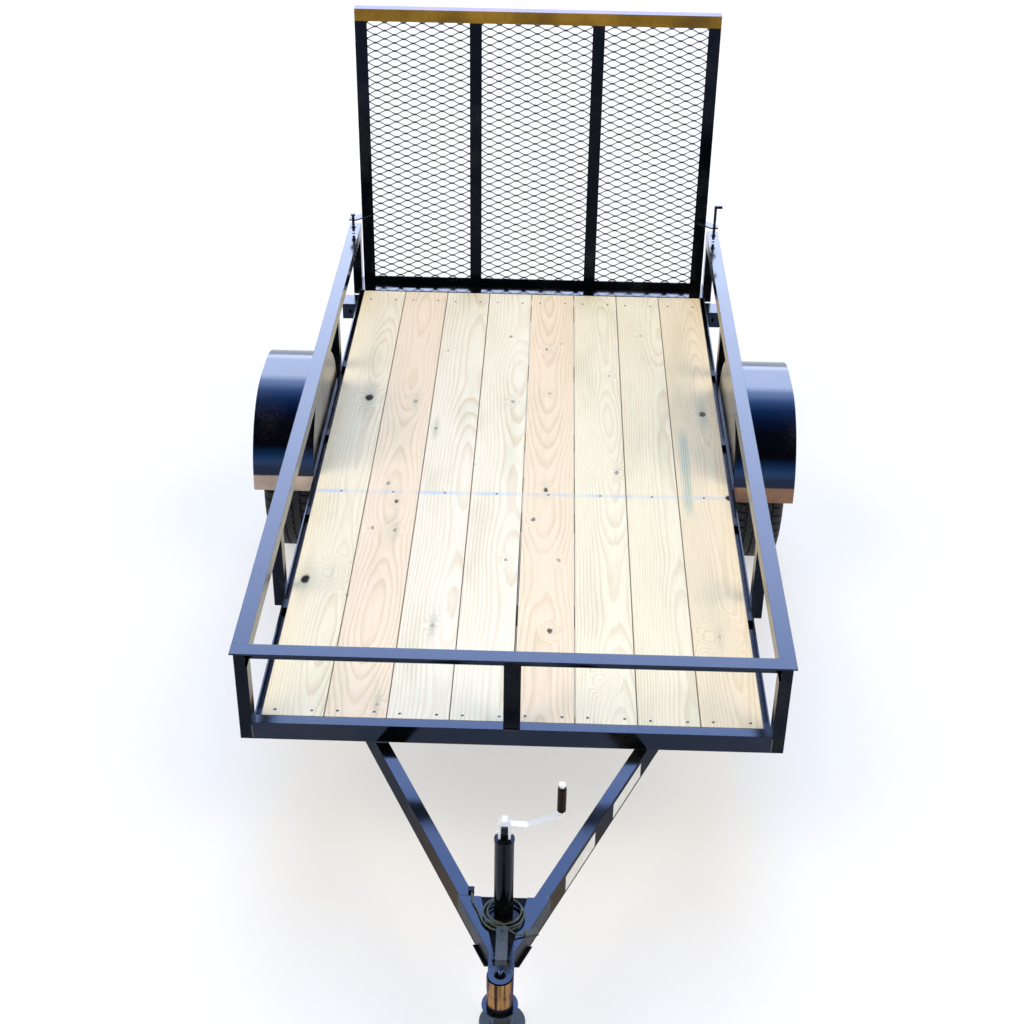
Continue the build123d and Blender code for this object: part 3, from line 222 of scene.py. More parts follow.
# plain white where the camera sees past the floor; gloss and light keep the sky
rays = addNode(tree, "LightPath")
seenRay = addNode(tree, "Math", {0: rays.outputs["Is Camera Ray"], 1: rays.outputs["Is Transmission Ray"]},
                  operation="ADD", use_clamp=True)
plain = addNode(tree, "Background", {"Color": (1, 1, 1, 1), "Strength": 1.0})
addNode(tree, "OutputWorld", {"Surface": addNode(tree, "MixShader", {0: seenRay, 1: whole, 2: plain})})

# wide soft suns from both sides: direction that the light comes from, strength, colour, width
suns = {"sunLeft": ((-1.0, -0.28, 0.95), 1.74, "#fff1da", 50),
        "sunRight": ((1.0, -0.28, 0.95), 1.74, "#fff1da", 50)}
for name, (source, strength, tint, width) in suns.items():
    lamp = bpy.data.lights.new(name, "SUN")
    lamp.energy = strength
    lamp.angle = radians(width)
    lamp.color = toLinear(tint)[:3]
    lampObject = bpy.data.objects.new(name, lamp)
    lampObject.rotation_euler = Vector(source).to_track_quat("Z", "Y").to_euler()
    lampObject.visible_glossy = False        # enamel shows the sky and the floor, not the lamps
    scene.collection.objects.link(lampObject)
print("light set")


# sprayed gloss enamel on steel: deep black with a hard clear gloss that mirrors a little blue, the blue a
# painted tint of the sky in its reflections, orange peel of about 2 mm, softened edges that catch a line of
# light, and thin pale dust. A tone of painted reflection, standing in for the brown ground, gold glints or
# a highlight line mirrored in the gloss, covers it from start to full along an axis: metal is how far this
# painted reflection shines as bare metal, matt the height of a pan that stays dull, streaked the height
# where it ends in upright streaks of painted highlight, and sides the roughness that upright faces gain,
# the painted reflection then lying on the upright faces only. A gloss under 0.5 gives satin paint
def enamel(name, reflectionTone, axis, start, full, edge=0.002, metal=0.0, matt=None, streaked=None, sides=0.0,
           gloss=0.5):
    made, tree, shader, coords = newMaterial(name, IOR=1.56, Specular_Tint=toLinear("#9dbaf4"),
                                             Specular_IOR_Level=gloss)
    parts = addNode(tree, "SeparateXYZ", {0: coords}).outputs
    place = parts[axis]
    cloud = addNode(tree, "TexNoise", {"Vector": coords, "Scale": 5.0, "Detail": 4.0, "Roughness": 0.6})
    speck = addNode(tree, "TexNoise", {"Vector": coords, "Scale": 260.0, "Detail": 3.0})
    peel = addNode(tree, "TexNoise", {"Vector": coords, "Scale": 420.0, "Detail": 1.0})
    cover = addNode(tree, "MapRange", {"Value": place, "From Min": start, "From Max": full})
    thin = addNode(tree, "MapRange", {"Value": cloud, "From Min": 0.30, "From Max": 0.62, "To Min": 0.45})
    cover = addNode(tree, "Math", {0: cover, 1: thin}, operation="MULTIPLY")
    tone = toLinear(reflectionTone)
    # painted highlight: upright streaks of dark brown and the reflection tone, standing in for bands of
    # reflection on a curved wall
    if streaked:        # streaks about 6 mm wide
        streaks = addNode(tree, "Mapping", {"Vector": coords, "Scale": (150.0, 40.0, 4.0)})
        streaks = addNode(tree, "TexNoise", {"Vector": streaks, "Scale": 1.0, "Detail": 2.0})
        streaks = addNode(tree, "MapRange", {"Value": streaks, "From Min": 0.42, "From Max": 0.58})
        tone = addNode(tree, "MixRGB", {0: streaks, 1: toLinear("#4a2c0e"), 2: tone})
        ends = addNode(tree, "MapRange", {"Value": parts["Z"], "From Min": streaked,
                                          "From Max": streaked + 0.003})
        cover = addNode(tree, "Math", {0: cover, 1: ends}, operation="MULTIPLY")
    # the painted reflection lies on the upright faces, which mirror the ground, and these faces grow rougher
    if sides:           # the film lies on the upright faces only
        normal = addNode(tree, "NewGeometry").outputs["Normal"]
        facing = addNode(tree, "SeparateXYZ", {0: normal}).outputs["Z"]
        facing = addNode(tree, "Math", {0: facing}, operation="ABSOLUTE")
        facing = addNode(tree, "MapRange", {"Value": facing, "From Min": 0.7, "From Max": 0.3})
        cover = addNode(tree, "Math", {0: cover, 1: facing}, operation="MULTIPLY")
    # black paint, with the tone of painted reflection mixed in where it covers
    colour = addNode(tree, "MixRGB", {0: cover, 1: toLinear("#07080a"), 2: tone})
    dust = addNode(tree, "Math", {0: cloud, 1: speck}, operation="MULTIPLY")
    dust = addNode(tree, "MapRange", {"Value": dust, "From Min": 0.26, "From Max": 0.42, "To Max": 0.16})
    colour = addNode(tree, "MixRGB", {0: dust, 1: colour, 2: toLinear("#6d6a62")})
    rough = addNode(tree, "MapRange", {"Value": cloud, "From Min": 0.3, "From Max": 0.7, "To Min": 0.08,
                                       "To Max": 0.20})
    if matt:            # the pressed pan at this height
        pan = addNode(tree, "Math", {0: parts["Z"], 1: matt, 2: 0.001}, operation="COMPARE")
        rough = addNode(tree, "Math", {0: pan, 1: 0.75, 2: rough}, operation="MULTIPLY_ADD")
    if sides:
        rough = addNode(tree, "Math", {0: facing, 1: sides, 2: rough}, operation="MULTIPLY_ADD")
    if metal:
        tree.links.new(addNode(tree, "Math", {0: cover, 1: metal}, operation="MULTIPLY").outputs[0],
                       shader.inputs["Metallic"])
    soft = addNode(tree, "Bevel", {"Radius": edge}, samples=3)
    bump = addNode(tree, "Bump", {"Strength": 0.12, "Distance": 0.0002, "Height": peel, "Normal": soft})
    link(tree, shader, colour, rough, bump)
    return made


# frame and posts: a brownish grey tone towards the bottom, below 0.40 m, painted in for the brown ground
# mirrored in the low parts
frameEnamel = enamel("sprayedBlackEnamel", "#57503f", "Z", 0.40, 0.20)
postEnamel = enamel("sprayedSatinBlackEnamel", "#57503f", "Z", 0.40, 0.20, gloss=0.16)
# gate: a bronze tone of painted reflection on the top bar above 1.652 m, shining as metal
gateEnamel = enamel("sprayedBlackEnamelPaintedBronzeReflection", "#9a7428", "Z", 1.6515, 1.6525, metal=1.0, gloss=0.16)
# coupler: gold painted reflections on the nose's upright faces, shining as bare metal in upright streaks of
# painted highlight above 0.385 m; the pan stays dull
couplerEnamel = enamel("sprayedBlackEnamelPaintedGoldReflection", "#c89656", "Y", frontY - 0.872, frontY - 0.905, 0.001,
                       metal=1.0, matt=0.4215, streaked=0.385, sides=0.35)
# tongue: an olive-brown painted reflection of the ground on the upright faces, growing towards the coupler,
# and rougher upright faces
tongueEnamel = enamel("sprayedBlackEnamelPaintedOliveReflection", "#5a4a1e", "Y", frontY - 0.20, frontY - 0.75, sides=0.7)
# fenders: a line of painted highlight on the lower edge below 0.477 m, pale peach on the left and copper on
# the right
fenderLeftEnamel = enamel("sprayedBlackEnamelPaintedPaleGlint", "#fbdcbc", "Z", 0.477, 0.472)
fenderRightEnamel = enamel("sprayedBlackEnamelPaintedCopperGlint", "#cf9660", "Z", 0.477, 0.472)

# black enamel dipped on expanded steel: thinner and duller, with grey dust held in the corners
meshEnamel, tree, shader, coords = newMaterial("dippedBlackEnamel", IOR=1.5)
cloud = addNode(tree, "TexNoise", {"Vector": coords, "Scale": 7.0, "Detail": 5.0})
speck = addNode(tree, "TexNoise", {"Vector": coords, "Scale": 160.0, "Detail": 2.0})
dust = addNode(tree, "Math", {0: cloud, 1: speck}, operation="MULTIPLY")
dust = addNode(tree, "MapRange", {"Value": dust, "From Min": 0.18, "From Max": 0.40})
colour = addNode(tree, "MixRGB", {0: dust, 1: toLinear("#0c0e0f"), 2: toLinear("#3a3f40")})
rough = addNode(tree, "MapRange", {"Value": dust, "To Min": 0.22, "To Max": 0.6})
bump = addNode(tree, "Bump", {"Strength": 0.4, "Distance": 0.0002, "Height": speck})
link(tree, shader, colour, rough, bump)

# sawn treated pine: pale cream and matt, with cathedral rings 7 to 10 mm apart, short fibres and knots
boards = {"left": -0.746, "pitch": 0.1865, "ring": 0.0065, "ringSpread": 0.0035,
          "ringShades": ((0.0, 0.30), (0.10, 0.0), (0.55, 0.15), (0.86, 1.0), (1.0, 1.0)),
          "tints": ("#fff7dd", "#ffeed6", "#fffae8", "#fffbe8", "#ffeed4", "#fff9e0", "#fff8dc", "#fdeece"),
          "lineY": 0.2278, "lineSlope": 0.0113,                   # chalk line and middle row of screws
          "tealX": 0.622, "tealY": 0.42,                          # middle of the blue-green streak
          "endRows": (-1.015, 1.813), "screwShift": 0.055}        # pairs of screws at both ends
boardCount = len(boards["tints"])
# knots: x, y, radius, darkness, halo, swirl of the rings round it
knots = ((-0.623, 0.919, 0.021, 1.0, 0.8, 1.0), (-0.438, 0.896, 0.010, 0.6, 0.5, 0.8),
         (-0.344, 0.689, 0.008, 0.7, 0.9, 0.6), (-0.080, 1.482, 0.009, 0.7, 0.2, 0.6),
         (-0.055, 0.916, 0.010, 0.6, 0.3, 0.7), (0.072, 1.369, 0.009, 0.7, 0.2, 0.6),
         (0.089, 0.990, 0.008, 0.6, 0.2, 0.6), (0.132, 1.425, 0.006, 0.5, 0.1, 0.4),
         (0.343, 0.397, 0.011, 0.7, 0.3, 0.9), (0.277, 0.433, 0.002, 0.1, 0.2, 1.6),
         (0.688, 0.851, 0.017, 0.9, 0.9, 1.0), (0.742, 0.240, 0.014, 1.0, 0.3, 0.7),
         (-0.489, 0.280, 0.009, 0.7, 0.3, 0.7), (-0.336, 1.340, 0.006, 0.6, 0.2, 0.5),
         (0.083, 0.262, 0.011, 0.9, 0.3, 0.8), (-0.709, -0.336, 0.019, 1.0, 0.6, 1.0),
         (-0.622, -0.296, 0.003, 0.0, 0.3, 1.8), (-0.517, -0.017, 0.009, 0.7, 0.2, 0.7),
         (-0.436, -0.026, 0.008, 0.6, 0.7, 0.7), (-0.449, 0.160, 0.009, 0.9, 0.3, 0.7),
         (0.042, 0.063, 0.010, 0.8, 0.2, 0.7), (0.133, -0.186, 0.008, 0.6, 0.2, 0.6),
         (-0.046, -0.193, 0.007, 0.7, 0.2, 0.6), (0.107, -0.587, 0.011, 0.9, 0.2, 0.8),
         (-0.268, -0.573, 0.008, 0.5, 0.9, 0.7), (0.648, -0.594, 0.006, 0.3, 0.5, 2.2),
         (0.279, -0.835, 0.003, 0.1, 0.1, 1.4), (-0.406, -0.976, 0.006, 0.5, 0.8, 0.6),
         (-0.560, -0.420, 0.007, 0.5, 0.1, 0.5), (0.470, 1.520, 0.007, 0.5, 0.2, 0.6),
         (0.330, 1.150, 0.006, 0.5, 0.1, 0.6), (-0.180, 0.430, 0.005, 0.4, 0.2, 0.5))
pine, tree, shader, coords = newMaterial("sawnTreatedPine", IOR=1.45, Specular_IOR_Level=0.15)
x, y, z = addNode(tree, "SeparateXYZ", {0: coords}).outputs
fromLeft = addNode(tree, "Math", {0: x, 1: boards["left"]}, operation="SUBTRACT")
fromLeft = addNode(tree, "Math", {0: fromLeft, 1: boards["pitch"]}, operation="DIVIDE")
number = addNode(tree, "Math", {0: fromLeft}, operation="FLOOR")
inBoard = addNode(tree, "Math", {0: addNode(tree, "Math", {0: fromLeft}, operation="FRACT"),
                                 1: -0.5}, operation="ADD")
chance = addNode(tree, "TexWhiteNoise", {"W": number}, noise_dimensions="1D").outputs["Color"]
chanceA, chanceB, chanceC = addNode(tree, "SeparateColor", {0: chance}).outputs
# slow wander of the heart along each board
along = addNode(tree, "CombineXYZ", {"X": addNode(tree, "Math", {0: number, 1: 3.7}, operation="MULTIPLY"),
                                     "Y": addNode(tree, "Math", {0: y, 1: 0.85}, operation="MULTIPLY")})
wander = addNode(tree, "TexNoise", {"Vector": along, "Scale": 1.0, "Detail": 1.5})
wanderParts = addNode(tree, "SeparateColor", {0: wander.outputs["Color"]}).outputs
# stretched noise bends the rings a little
stretched = addNode(tree, "Mapping", {"Vector": coords, "Scale": (16.0, 2.2, 16.0)})
wobble = addNode(tree, "TexNoise", {"Vector": stretched, "Scale": 1.0, "Detail": 3.0})
heartX = addNode(tree, "MapRange", {"Value": chanceA, "To Min": -0.24, "To Max": 0.24})
heartX = addNode(tree, "Math", {0: wanderParts[0], 1: 0.35, 2: heartX}, operation="MULTIPLY_ADD")
fromHeart = addNode(tree, "Math", {0: inBoard, 1: heartX}, operation="SUBTRACT")
fromHeart = addNode(tree, "Math", {0: fromHeart, 1: boards["pitch"]}, operation="MULTIPLY")
depth = addNode(tree, "MapRange", {"Value": chanceB, "To Min": -0.03, "To Max": 0.05})
depth = addNode(tree, "Math", {0: wanderParts[1], 1: 0.16, 2: depth}, operation="MULTIPLY_ADD")
depth = addNode(tree, "Math", {0: depth, 1: addNode(tree, "Math", {0: z, 1: deckZ}, operation="SUBTRACT")},
                operation="SUBTRACT")
heart = addNode(tree, "CombineXYZ", {"X": fromHeart, "Z": depth})
ringPlace = addNode(tree, "VectorMath", {0: heart}, operation="LENGTH").outputs["Value"]
ringPlace = addNode(tree, "Math", {0: wobble, 1: 0.010, 2: ringPlace}, operation="MULTIPLY_ADD")
# each knot darkens its middle, stains along the board and pushes the rings round itself; its distances
# are taken in coordinates squeezed along the board and shaken by a noise: (shake, squeeze)
knotShape = addNode(tree, "TexNoise", {"Vector": coords, "Scale": 60.0, "Detail": 2.0}).outputs["Color"]
knotWay, streakWay = (0.010, 0.6), (0.014, 0.16)


def shaken(way):
    squeezed = addNode(tree, "Mapping", {"Vector": coords, "Scale": (1.0, way[1], 0.0)})
    return addNode(tree, "VectorMath", {0: knotShape, 1: (way[0], way[0], 0.0), 2: squeezed},
                   operation="MULTIPLY_ADD")


def distanceTo(knotX, knotY, bent, way):
    middle = (knotX + way[0] / 2, knotY * way[1] + way[0] / 2, 0.0)
    return addNode(tree, "VectorMath", {0: bent, 1: middle}, operation="DISTANCE").outputs["Value"]


knotBend, streakBend = shaken(knotWay), shaken(streakWay)
dark = stain = push = None
for knotX, knotY, radius, darkness, halo, swirl in knots:
    reach = distanceTo(knotX, knotY, knotBend, knotWay)
    core = addNode(tree, "MapRange", {"Value": reach, "From Min": radius, "From Max": radius * 0.55,
                                      "To Max": darkness}, interpolation_type="SMOOTHSTEP")
    bend = addNode(tree, "MapRange", {"Value": reach, "From Min": radius + 0.045 * swirl, "From Max": 0.0,
                                      "To Max": 0.030 * swirl}, interpolation_type="SMOOTHERSTEP")
    dark = core if dark is None else addNode(tree, "Math", {0: dark, 1: core}, operation="MAXIMUM")
    push = bend if push is None else addNode(tree, "Math", {0: push, 1: bend}, operation="ADD")
    if halo > 0.25:
        streak = distanceTo(knotX, knotY, streakBend, streakWay)
        streak = addNode(tree, "MapRange", {"Value": streak, "From Min": radius * 1.6 + 0.008,
                                            "From Max": 0.0, "To Max": halo},
                         interpolation_type="SMOOTHSTEP")
        stain = streak if stain is None else addNode(tree, "Math", {0: stain, 1: streak},
                                                     operation="MAXIMUM")
ringPlace = addNode(tree, "Math", {0: ringPlace, 1: push}, operation="ADD")
ringWidth = addNode(tree, "MapRange", {"Value": chanceC, "To Min": boards["ring"],
                                       "To Max": boards["ring"] + boards["ringSpread"]})
ringPlace = addNode(tree, "Math", {0: ringPlace, 1: ringWidth}, operation="DIVIDE")
ring = addNode(tree, "Math", {0: ringPlace}, operation="FRACT")
# pale spring wood that darkens slowly to a thin line of summer wood
lateWood = addNode(tree, "ValToRGB", {0: ring})
fillRamp(lateWood, [(at, (shade, shade, shade, 1)) for at, shade in boards["ringShades"]])
tintPlace = addNode(tree, "Math", {0: number, 1: 1 / boardCount, 2: 0.5 / boardCount},
                    operation="MULTIPLY_ADD")
tintRamp = addNode(tree, "ValToRGB", {0: tintPlace})
tintRamp.color_ramp.interpolation = "CONSTANT"
fillRamp(tintRamp, [(index / boardCount, toLinear(tint)) for index, tint in enumerate(boards["tints"])])
fibres = addNode(tree, "TexNoise", {"Vector": addNode(tree, "Mapping", {"Vector": coords,
                                                                        "Scale": (420.0, 9.0, 420.0)}),
                                    "Scale": 1.0, "Detail": 3.0})
patches = addNode(tree, "TexNoise", {"Vector": addNode(tree, "Mapping", {"Vector": coords,
                                                                         "Scale": (9.0, 2.0, 9.0)}),
                                     "Scale": 1.0, "Detail": 4.0})
grainAmount = addNode(tree, "MapRange", {"Value": patches, "From Min": 0.3, "From Max": 0.7, "To Min": 0.14,
                                         "To Max": 0.46})
grainAmount = addNode(tree, "Math", {0: lateWood, 1: grainAmount}, operation="MULTIPLY")
colour = addNode(tree, "MixRGB", {0: grainAmount, 1: tintRamp, 2: toLinear("#cfae78")})
fibreAmount = addNode(tree, "MapRange", {"Value": fibres, "From Min": 0.45, "From Max": 0.75,
                                         "To Max": 0.22})
colour = addNode(tree, "MixRGB", {0: fibreAmount, 1: colour, 2: toLinear("#c9ad80")})
# green-grey of the treatment in patches, and blue-green along one board
green = addNode(tree, "MapRange", {"Value": patches, "From Min": 0.52, "From Max": 0.78, "To Max": 0.30})
colour = addNode(tree, "MixRGB", {0: green, 1: colour, 2: toLinear("#c3cbaa")})
tealX = addNode(tree, "Math", {0: wobble, 1: 0.05, 2: x}, operation="MULTIPLY_ADD")
tealX = addNode(tree, "Math", {0: tealX, 1: boards["tealX"]}, operation="SUBTRACT")
tealX = addNode(tree, "Math", {0: tealX}, operation="ABSOLUTE")
tealX = addNode(tree, "MapRange", {"Value": tealX, "From Min": 0.024, "From Max": 0.008})
tealY = addNode(tree, "Math", {0: y, 1: boards["tealY"]}, operation="SUBTRACT")
tealY = addNode(tree, "Math", {0: tealY}, operation="ABSOLUTE")
tealY = addNode(tree, "MapRange", {"Value": tealY, "From Min": 0.34, "From Max": 0.22})
teal = addNode(tree, "Math", {0: tealX, 1: tealY}, operation="MULTIPLY")
teal = addNode(tree, "Math", {0: teal, 1: addNode(tree, "MapRange", {"Value": ring, "From Min": 0.2,
                                                                     "From Max": 0.7, "To Min": 0.25,
                                                                     "To Max": 0.75})},
               operation="MULTIPLY")
colour = addNode(tree, "MixRGB", {0: teal, 1: colour, 2: toLinear("#8fb8ad")})
stainAmount = addNode(tree, "Math", {0: stain, 1: 0.55}, operation="MULTIPLY")
colour = addNode(tree, "MixRGB", {0: stainAmount, 1: colour, 2: toLinear("#a9b09a")})
# chalk line snapped across the boards over a cross member
lineY = addNode(tree, "Math", {0: x, 1: -boards["lineSlope"], 2: y}, operation="MULTIPLY_ADD")
lineY = addNode(tree, "Math", {0: lineY, 1: boards["lineY"]}, operation="SUBTRACT")
lineY = addNode(tree, "Math", {0: lineY}, operation="ABSOLUTE")
chalk = addNode(tree, "MapRange", {"Value": lineY, "From Min": 0.016, "From Max": 0.003, "To Max": 0.85})
chalk = addNode(tree, "Math", {0: chalk, 1: addNode(tree, "MapRange", {"Value": patches, "From Min": 0.30,
                                                                       "From Max": 0.60})},
                operation="MULTIPLY")
colour = addNode(tree, "MixRGB", {0: chalk, 1: colour, 2: toLinear("#c4d9f2")})
knotColour = addNode(tree, "MixRGB", {0: addNode(tree, "MapRange", {"Value": dark, "From Min": 0.72,
                                                                    "From Max": 0.92}),
                                      1: toLinear("#6c7468"), 2: toLinear("#20140c")})
colour = addNode(tree, "MixRGB", {0: dark, 1: colour, 2: knotColour})
# darker sawn edges: a shaded line where two boards meet
edge = addNode(tree, "MapRange", {"Value": addNode(tree, "Math", {0: inBoard}, operation="ABSOLUTE"),
                                  "From Min": 0.478, "From Max": 0.496, "To Max": 0.55})
colour = addNode(tree, "MixRGB", {0: edge, 1: colour, 2: toLinear("#8d7650")})
# painted shade: a dark band painted on the boards along the open gap between the two middle boards, which is
# wider towards the tongue; the band shows only towards the tongue
gapShade = addNode(tree, "MapRange", {"Value": addNode(tree, "Math", {0: x}, operation="ABSOLUTE"),
                                 "From Min": 0.0040, "From Max": 0.0031})
gapShade = addNode(tree, "Math", {0: gapShade, 1: addNode(tree, "MapRange", {"Value": y, "From Min": 0.15,
                                                                   "From Max": -0.20})},
              operation="MULTIPLY")
colour = addNode(tree, "MixRGB", {0: gapShade, 1: colour, 2: toLinear("#1d150c")})
relief = addNode(tree, "Math", {0: fibres, 1: lateWood}, operation="ADD")
bump = addNode(tree, "Bump", {"Strength": 0.35, "Distance": 0.0005, "Height": relief})
rough = addNode(tree, "MapRange", {"Value": lateWood, "To Min": 0.72, "To Max": 0.55})
link(tree, shader, colour, rough, bump)

# moulded tyre rubber: near black and dull, with fine mould rings on the sidewall and a thin grey-brown
# dust in clouds below the tread's crown; places here are distances from the axle
tyreSkin = {"ring": 0.0045, "wall": (0.300, 0.285), "crown": (0.335, 0.325)}
rubber, tree, shader, coords = newMaterial("mouldedTyreRubber", IOR=1.5)
fromAxle = addNode(tree, "VectorMath", {0: coords, 1: (0.0, axleY, axleZ)}, operation="SUBTRACT")
fromAxle = addNode(tree, "VectorMath", {0: fromAxle, 1: (0.0, 1.0, 1.0)}, operation="MULTIPLY")
spoke = addNode(tree, "VectorMath", {0: fromAxle}, operation="LENGTH").outputs["Value"]
mouldRings = addNode(tree, "Math", {0: spoke, 1: 2 * pi / tyreSkin["ring"]}, operation="MULTIPLY")
mouldRings = addNode(tree, "Math", {0: mouldRings}, operation="SINE")
onWall = addNode(tree, "MapRange", {"Value": spoke, "From Min": tyreSkin["wall"][0],
                                    "From Max": tyreSkin["wall"][1]})
mouldRings = addNode(tree, "Math", {0: mouldRings, 1: onWall}, operation="MULTIPLY")
grit = addNode(tree, "TexNoise", {"Vector": coords, "Scale": 180.0, "Detail": 3.0})
cloud = addNode(tree, "TexNoise", {"Vector": coords, "Scale": 9.0, "Detail": 3.0})
dust = addNode(tree, "MapRange", {"Value": spoke, "From Min": tyreSkin["crown"][0],
                                  "From Max": tyreSkin["crown"][1]})
clouds = addNode(tree, "MapRange", {"Value": cloud, "From Min": 0.35, "From Max": 0.75, "To Max": 0.6})
dust = addNode(tree, "Math", {0: dust, 1: clouds}, operation="MULTIPLY")
colour = addNode(tree, "MixRGB", {0: dust, 1: toLinear("#19191b"), 2: toLinear("#453e35")})
relief = addNode(tree, "Math", {0: grit, 1: 0.4, 2: mouldRings}, operation="MULTIPLY_ADD")
bump = addNode(tree, "Bump", {"Strength": 0.5, "Distance": 0.0004, "Height": relief})
rough = addNode(tree, "MapRange", {"Value": grit, "To Min": 0.6, "To Max": 0.85})
link(tree, shader, colour, rough, bump)


# finishes whose colour and roughness drift between two values with a noise of a given grain in metres
def drifting(name, first, second, grain, smoothest, roughest, height=0.0001, **settings):
    made, tree, shader, coords = newMaterial(name, **settings)
    drift = addNode(tree, "TexNoise", {"Vector": coords, "Scale": 1 / grain, "Detail": 4.0,
                                       "Roughness": 0.6})
    amount = addNode(tree, "MapRange", {"Value": drift, "From Min": 0.35, "From Max": 0.65})
    colour = addNode(tree, "MixRGB", {0: amount, 1: toLinear(first), 2: toLinear(second)})
    rough = addNode(tree, "MapRange", {"Value": amount, "To Min": smoothest, "To Max": roughest})
    bump = addNode(tree, "Bump", {"Strength": 0.3, "Distance": height, "Height": drift})
    link(tree, shader, colour, rough, bump)
    return made


# zinc plate: bright with a faint spangle of about 3 mm
zincPlate = drifting("zincPlatedSteel", "#f6f2ea", "#ffffff", 0.003, 0.36, 0.50, Metallic=0.35)
# the same after wear and weather: blue-grey and duller
dullZinc = drifting("weatheredZincPlate", "#43484e", "#5c636a", 0.004, 0.45, 0.60, Metallic=0.35)
# baked silver wheel enamel: fine metal flake under a clear gloss
wheelEnamel = drifting("bakedSilverEnamel", "#a9adb1", "#c3c6c9", 0.0015, 0.28, 0.42, Metallic=0.6,
                       Coat_Weight=0.6, Coat_Roughness=0.1)
# moulded red acrylic: clear gloss over a deep red with a slight ripple
redAcrylic = drifting("mouldedRedAcrylic", "#8a0a10", "#a81218", 0.012, 0.08, 0.16, IOR=1.49,
                      Coat_Weight=0.5, Coat_Roughness=0.05)
# extruded vinyl of the lighting cord: grey-green, satin, handled
cordVinyl = drifting("extrudedGreenVinyl", "#3c443a", "#5a6353", 0.006, 0.35, 0.55, IOR=1.5)
# moulded grey vinyl of its plug
plugVinyl = drifting("mouldedGreyVinyl", "#3c3f3c", "#505350", 0.003, 0.40, 0.55, IOR=1.5,
                     Specular_IOR_Level=0.2)
# moulded dark brown plastic of the crank's grip: satin with a fine grain
gripPlastic = drifting("mouldedBrownPlastic", "#140b08", "#26130b", 0.0012, 0.30, 0.45, IOR=1.5,
                       Specular_IOR_Level=0.1)
# white vinyl label, blank: flat satin, a little yellowed
labelVinyl = drifting("whiteVinylLabel", "#eceae2", "#f8f8f4", 0.030, 0.35, 0.50, IOR=1.5)
# steel weld bead under the same enamel: dark, lumpy and half gloss
beadEnamel = drifting("enamelledWeldBead", "#0b0c0e", "#17181a", 0.0020, 0.20, 0.40, IOR=1.5,
                      Coat_Weight=0.6, Coat_Roughness=0.1)

for name in nodes:
    paint(name, frameEnamel)
for finish, *names in ((pine, "deck_boards"), (rubber, "tyre_left", "tyre_right"),
                       (wheelEnamel, "rim_left", "rim_right"), (zincPlate, "jack_crank"),
                       (dullZinc, "jack_leg", "latch_lever"), (redAcrylic, "tail_lamps"),
                       (plugVinyl, "cord_plug"), (couplerEnamel, "coupler"),
                       (tongueEnamel, "tongue_left", "tongue_right"), (fenderLeftEnamel, "fender_left"),
                       (fenderRightEnamel, "fender_right"), (gateEnamel, "gate_frame"),
                       (meshEnamel, "gate_mesh"),
                       (postEnamel, "jack_tube", "side_posts_left", "side_posts_right", "front_post",
                        "cord_clip")):
    for name in names:
        paint(name, finish)
paint(harnessCord, cordVinyl)
print("finishes given")


# one mesh piece from grids of points (..., rows, columns, 3), each row a closed ring; a ring of no size
# at an end closes it, because doubled points are merged
def surface(name, grids, material, body, slotName, *replaced, wrapRows=False, sharp=40):
    points, quads, count = [], [], 0
    for grid in grids:
        rows, columns = grid.shape[-3:-1]
        flat = grid.reshape(-1, 3)
        i = np.arange(rows if wrapRows else rows - 1)[:, None]
        j = np.arange(columns)[None, :]
        nextI, nextJ = (i + 1) % rows, (j + 1) % columns
        quad = np.stack(np.broadcast_arrays(i * columns + j, nextI * columns + j,
                                            nextI * columns + nextJ, i * columns + nextJ), axis=-1)
        starts = count + np.arange(len(flat) // (rows * columns)) * rows * columns
        quads.append((quad.reshape(1, -1, 4) + starts[:, None, None]).reshape(-1, 4))
        points.append(flat)
        count += len(flat)
    mesh = bpy.data.meshes.new(name)
    mesh.from_pydata(np.concatenate(points), [], np.concatenate(quads).tolist())
    work = bmesh.new()
    work.from_mesh(mesh)
    bmesh.ops.remove_doubles(work, verts=work.verts, dist=1e-6)
    bmesh.ops.recalc_face_normals(work, faces=work.faces)
    work.to_mesh(mesh)
    work.free()
    mesh.shade_smooth()
    mesh.set_sharp_from_angle(angle=radians(sharp))
    piece = bpy.data.objects.new(name, mesh)
    scene.collection.objects.link(piece)
    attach(piece, body)
    if replaced:
        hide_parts(*replaced)
    paint(piece, material)
    return piece


# profile of (radius, height) pairs turned about its height in a number of steps; six steps make a nut
def turned(profile, steps):
    angle = 2 * pi * np.arange(steps) / steps
    r, h = np.array(profile).T
    return np.stack([r[:, None] * np.cos(angle), r[:, None] * np.sin(angle),
                     h[:, None] + 0 * angle], axis=-1)


# two directions square to each given one and to each other
def squareTo(ways):
    helper = np.where(np.abs(ways[:, 2:3]) > 0.9, (1.0, 0.0, 0.0), (0.0, 0.0, 1.0))
    u = np.cross(helper, ways)
    u = u / np.linalg.norm(u, axis=-1, keepdims=True)
    return u, np.cross(ways, u)


# copies of a turned shape at each place, with its height along each direction
def placed(shape, places, directions):
    places = np.array(places, dtype=float)
    w = np.broadcast_to(np.array(directions, dtype=float), places.shape)
    w = w / np.linalg.norm(w, axis=-1, keepdims=True)
    u, v = squareTo(w)
    u, v, w, middle = (a[:, None, None, :] for a in (u, v, w, places))
    return middle + shape[..., 0:1] * u + shape[..., 1:2] * v + shape[..., 2:3] * w


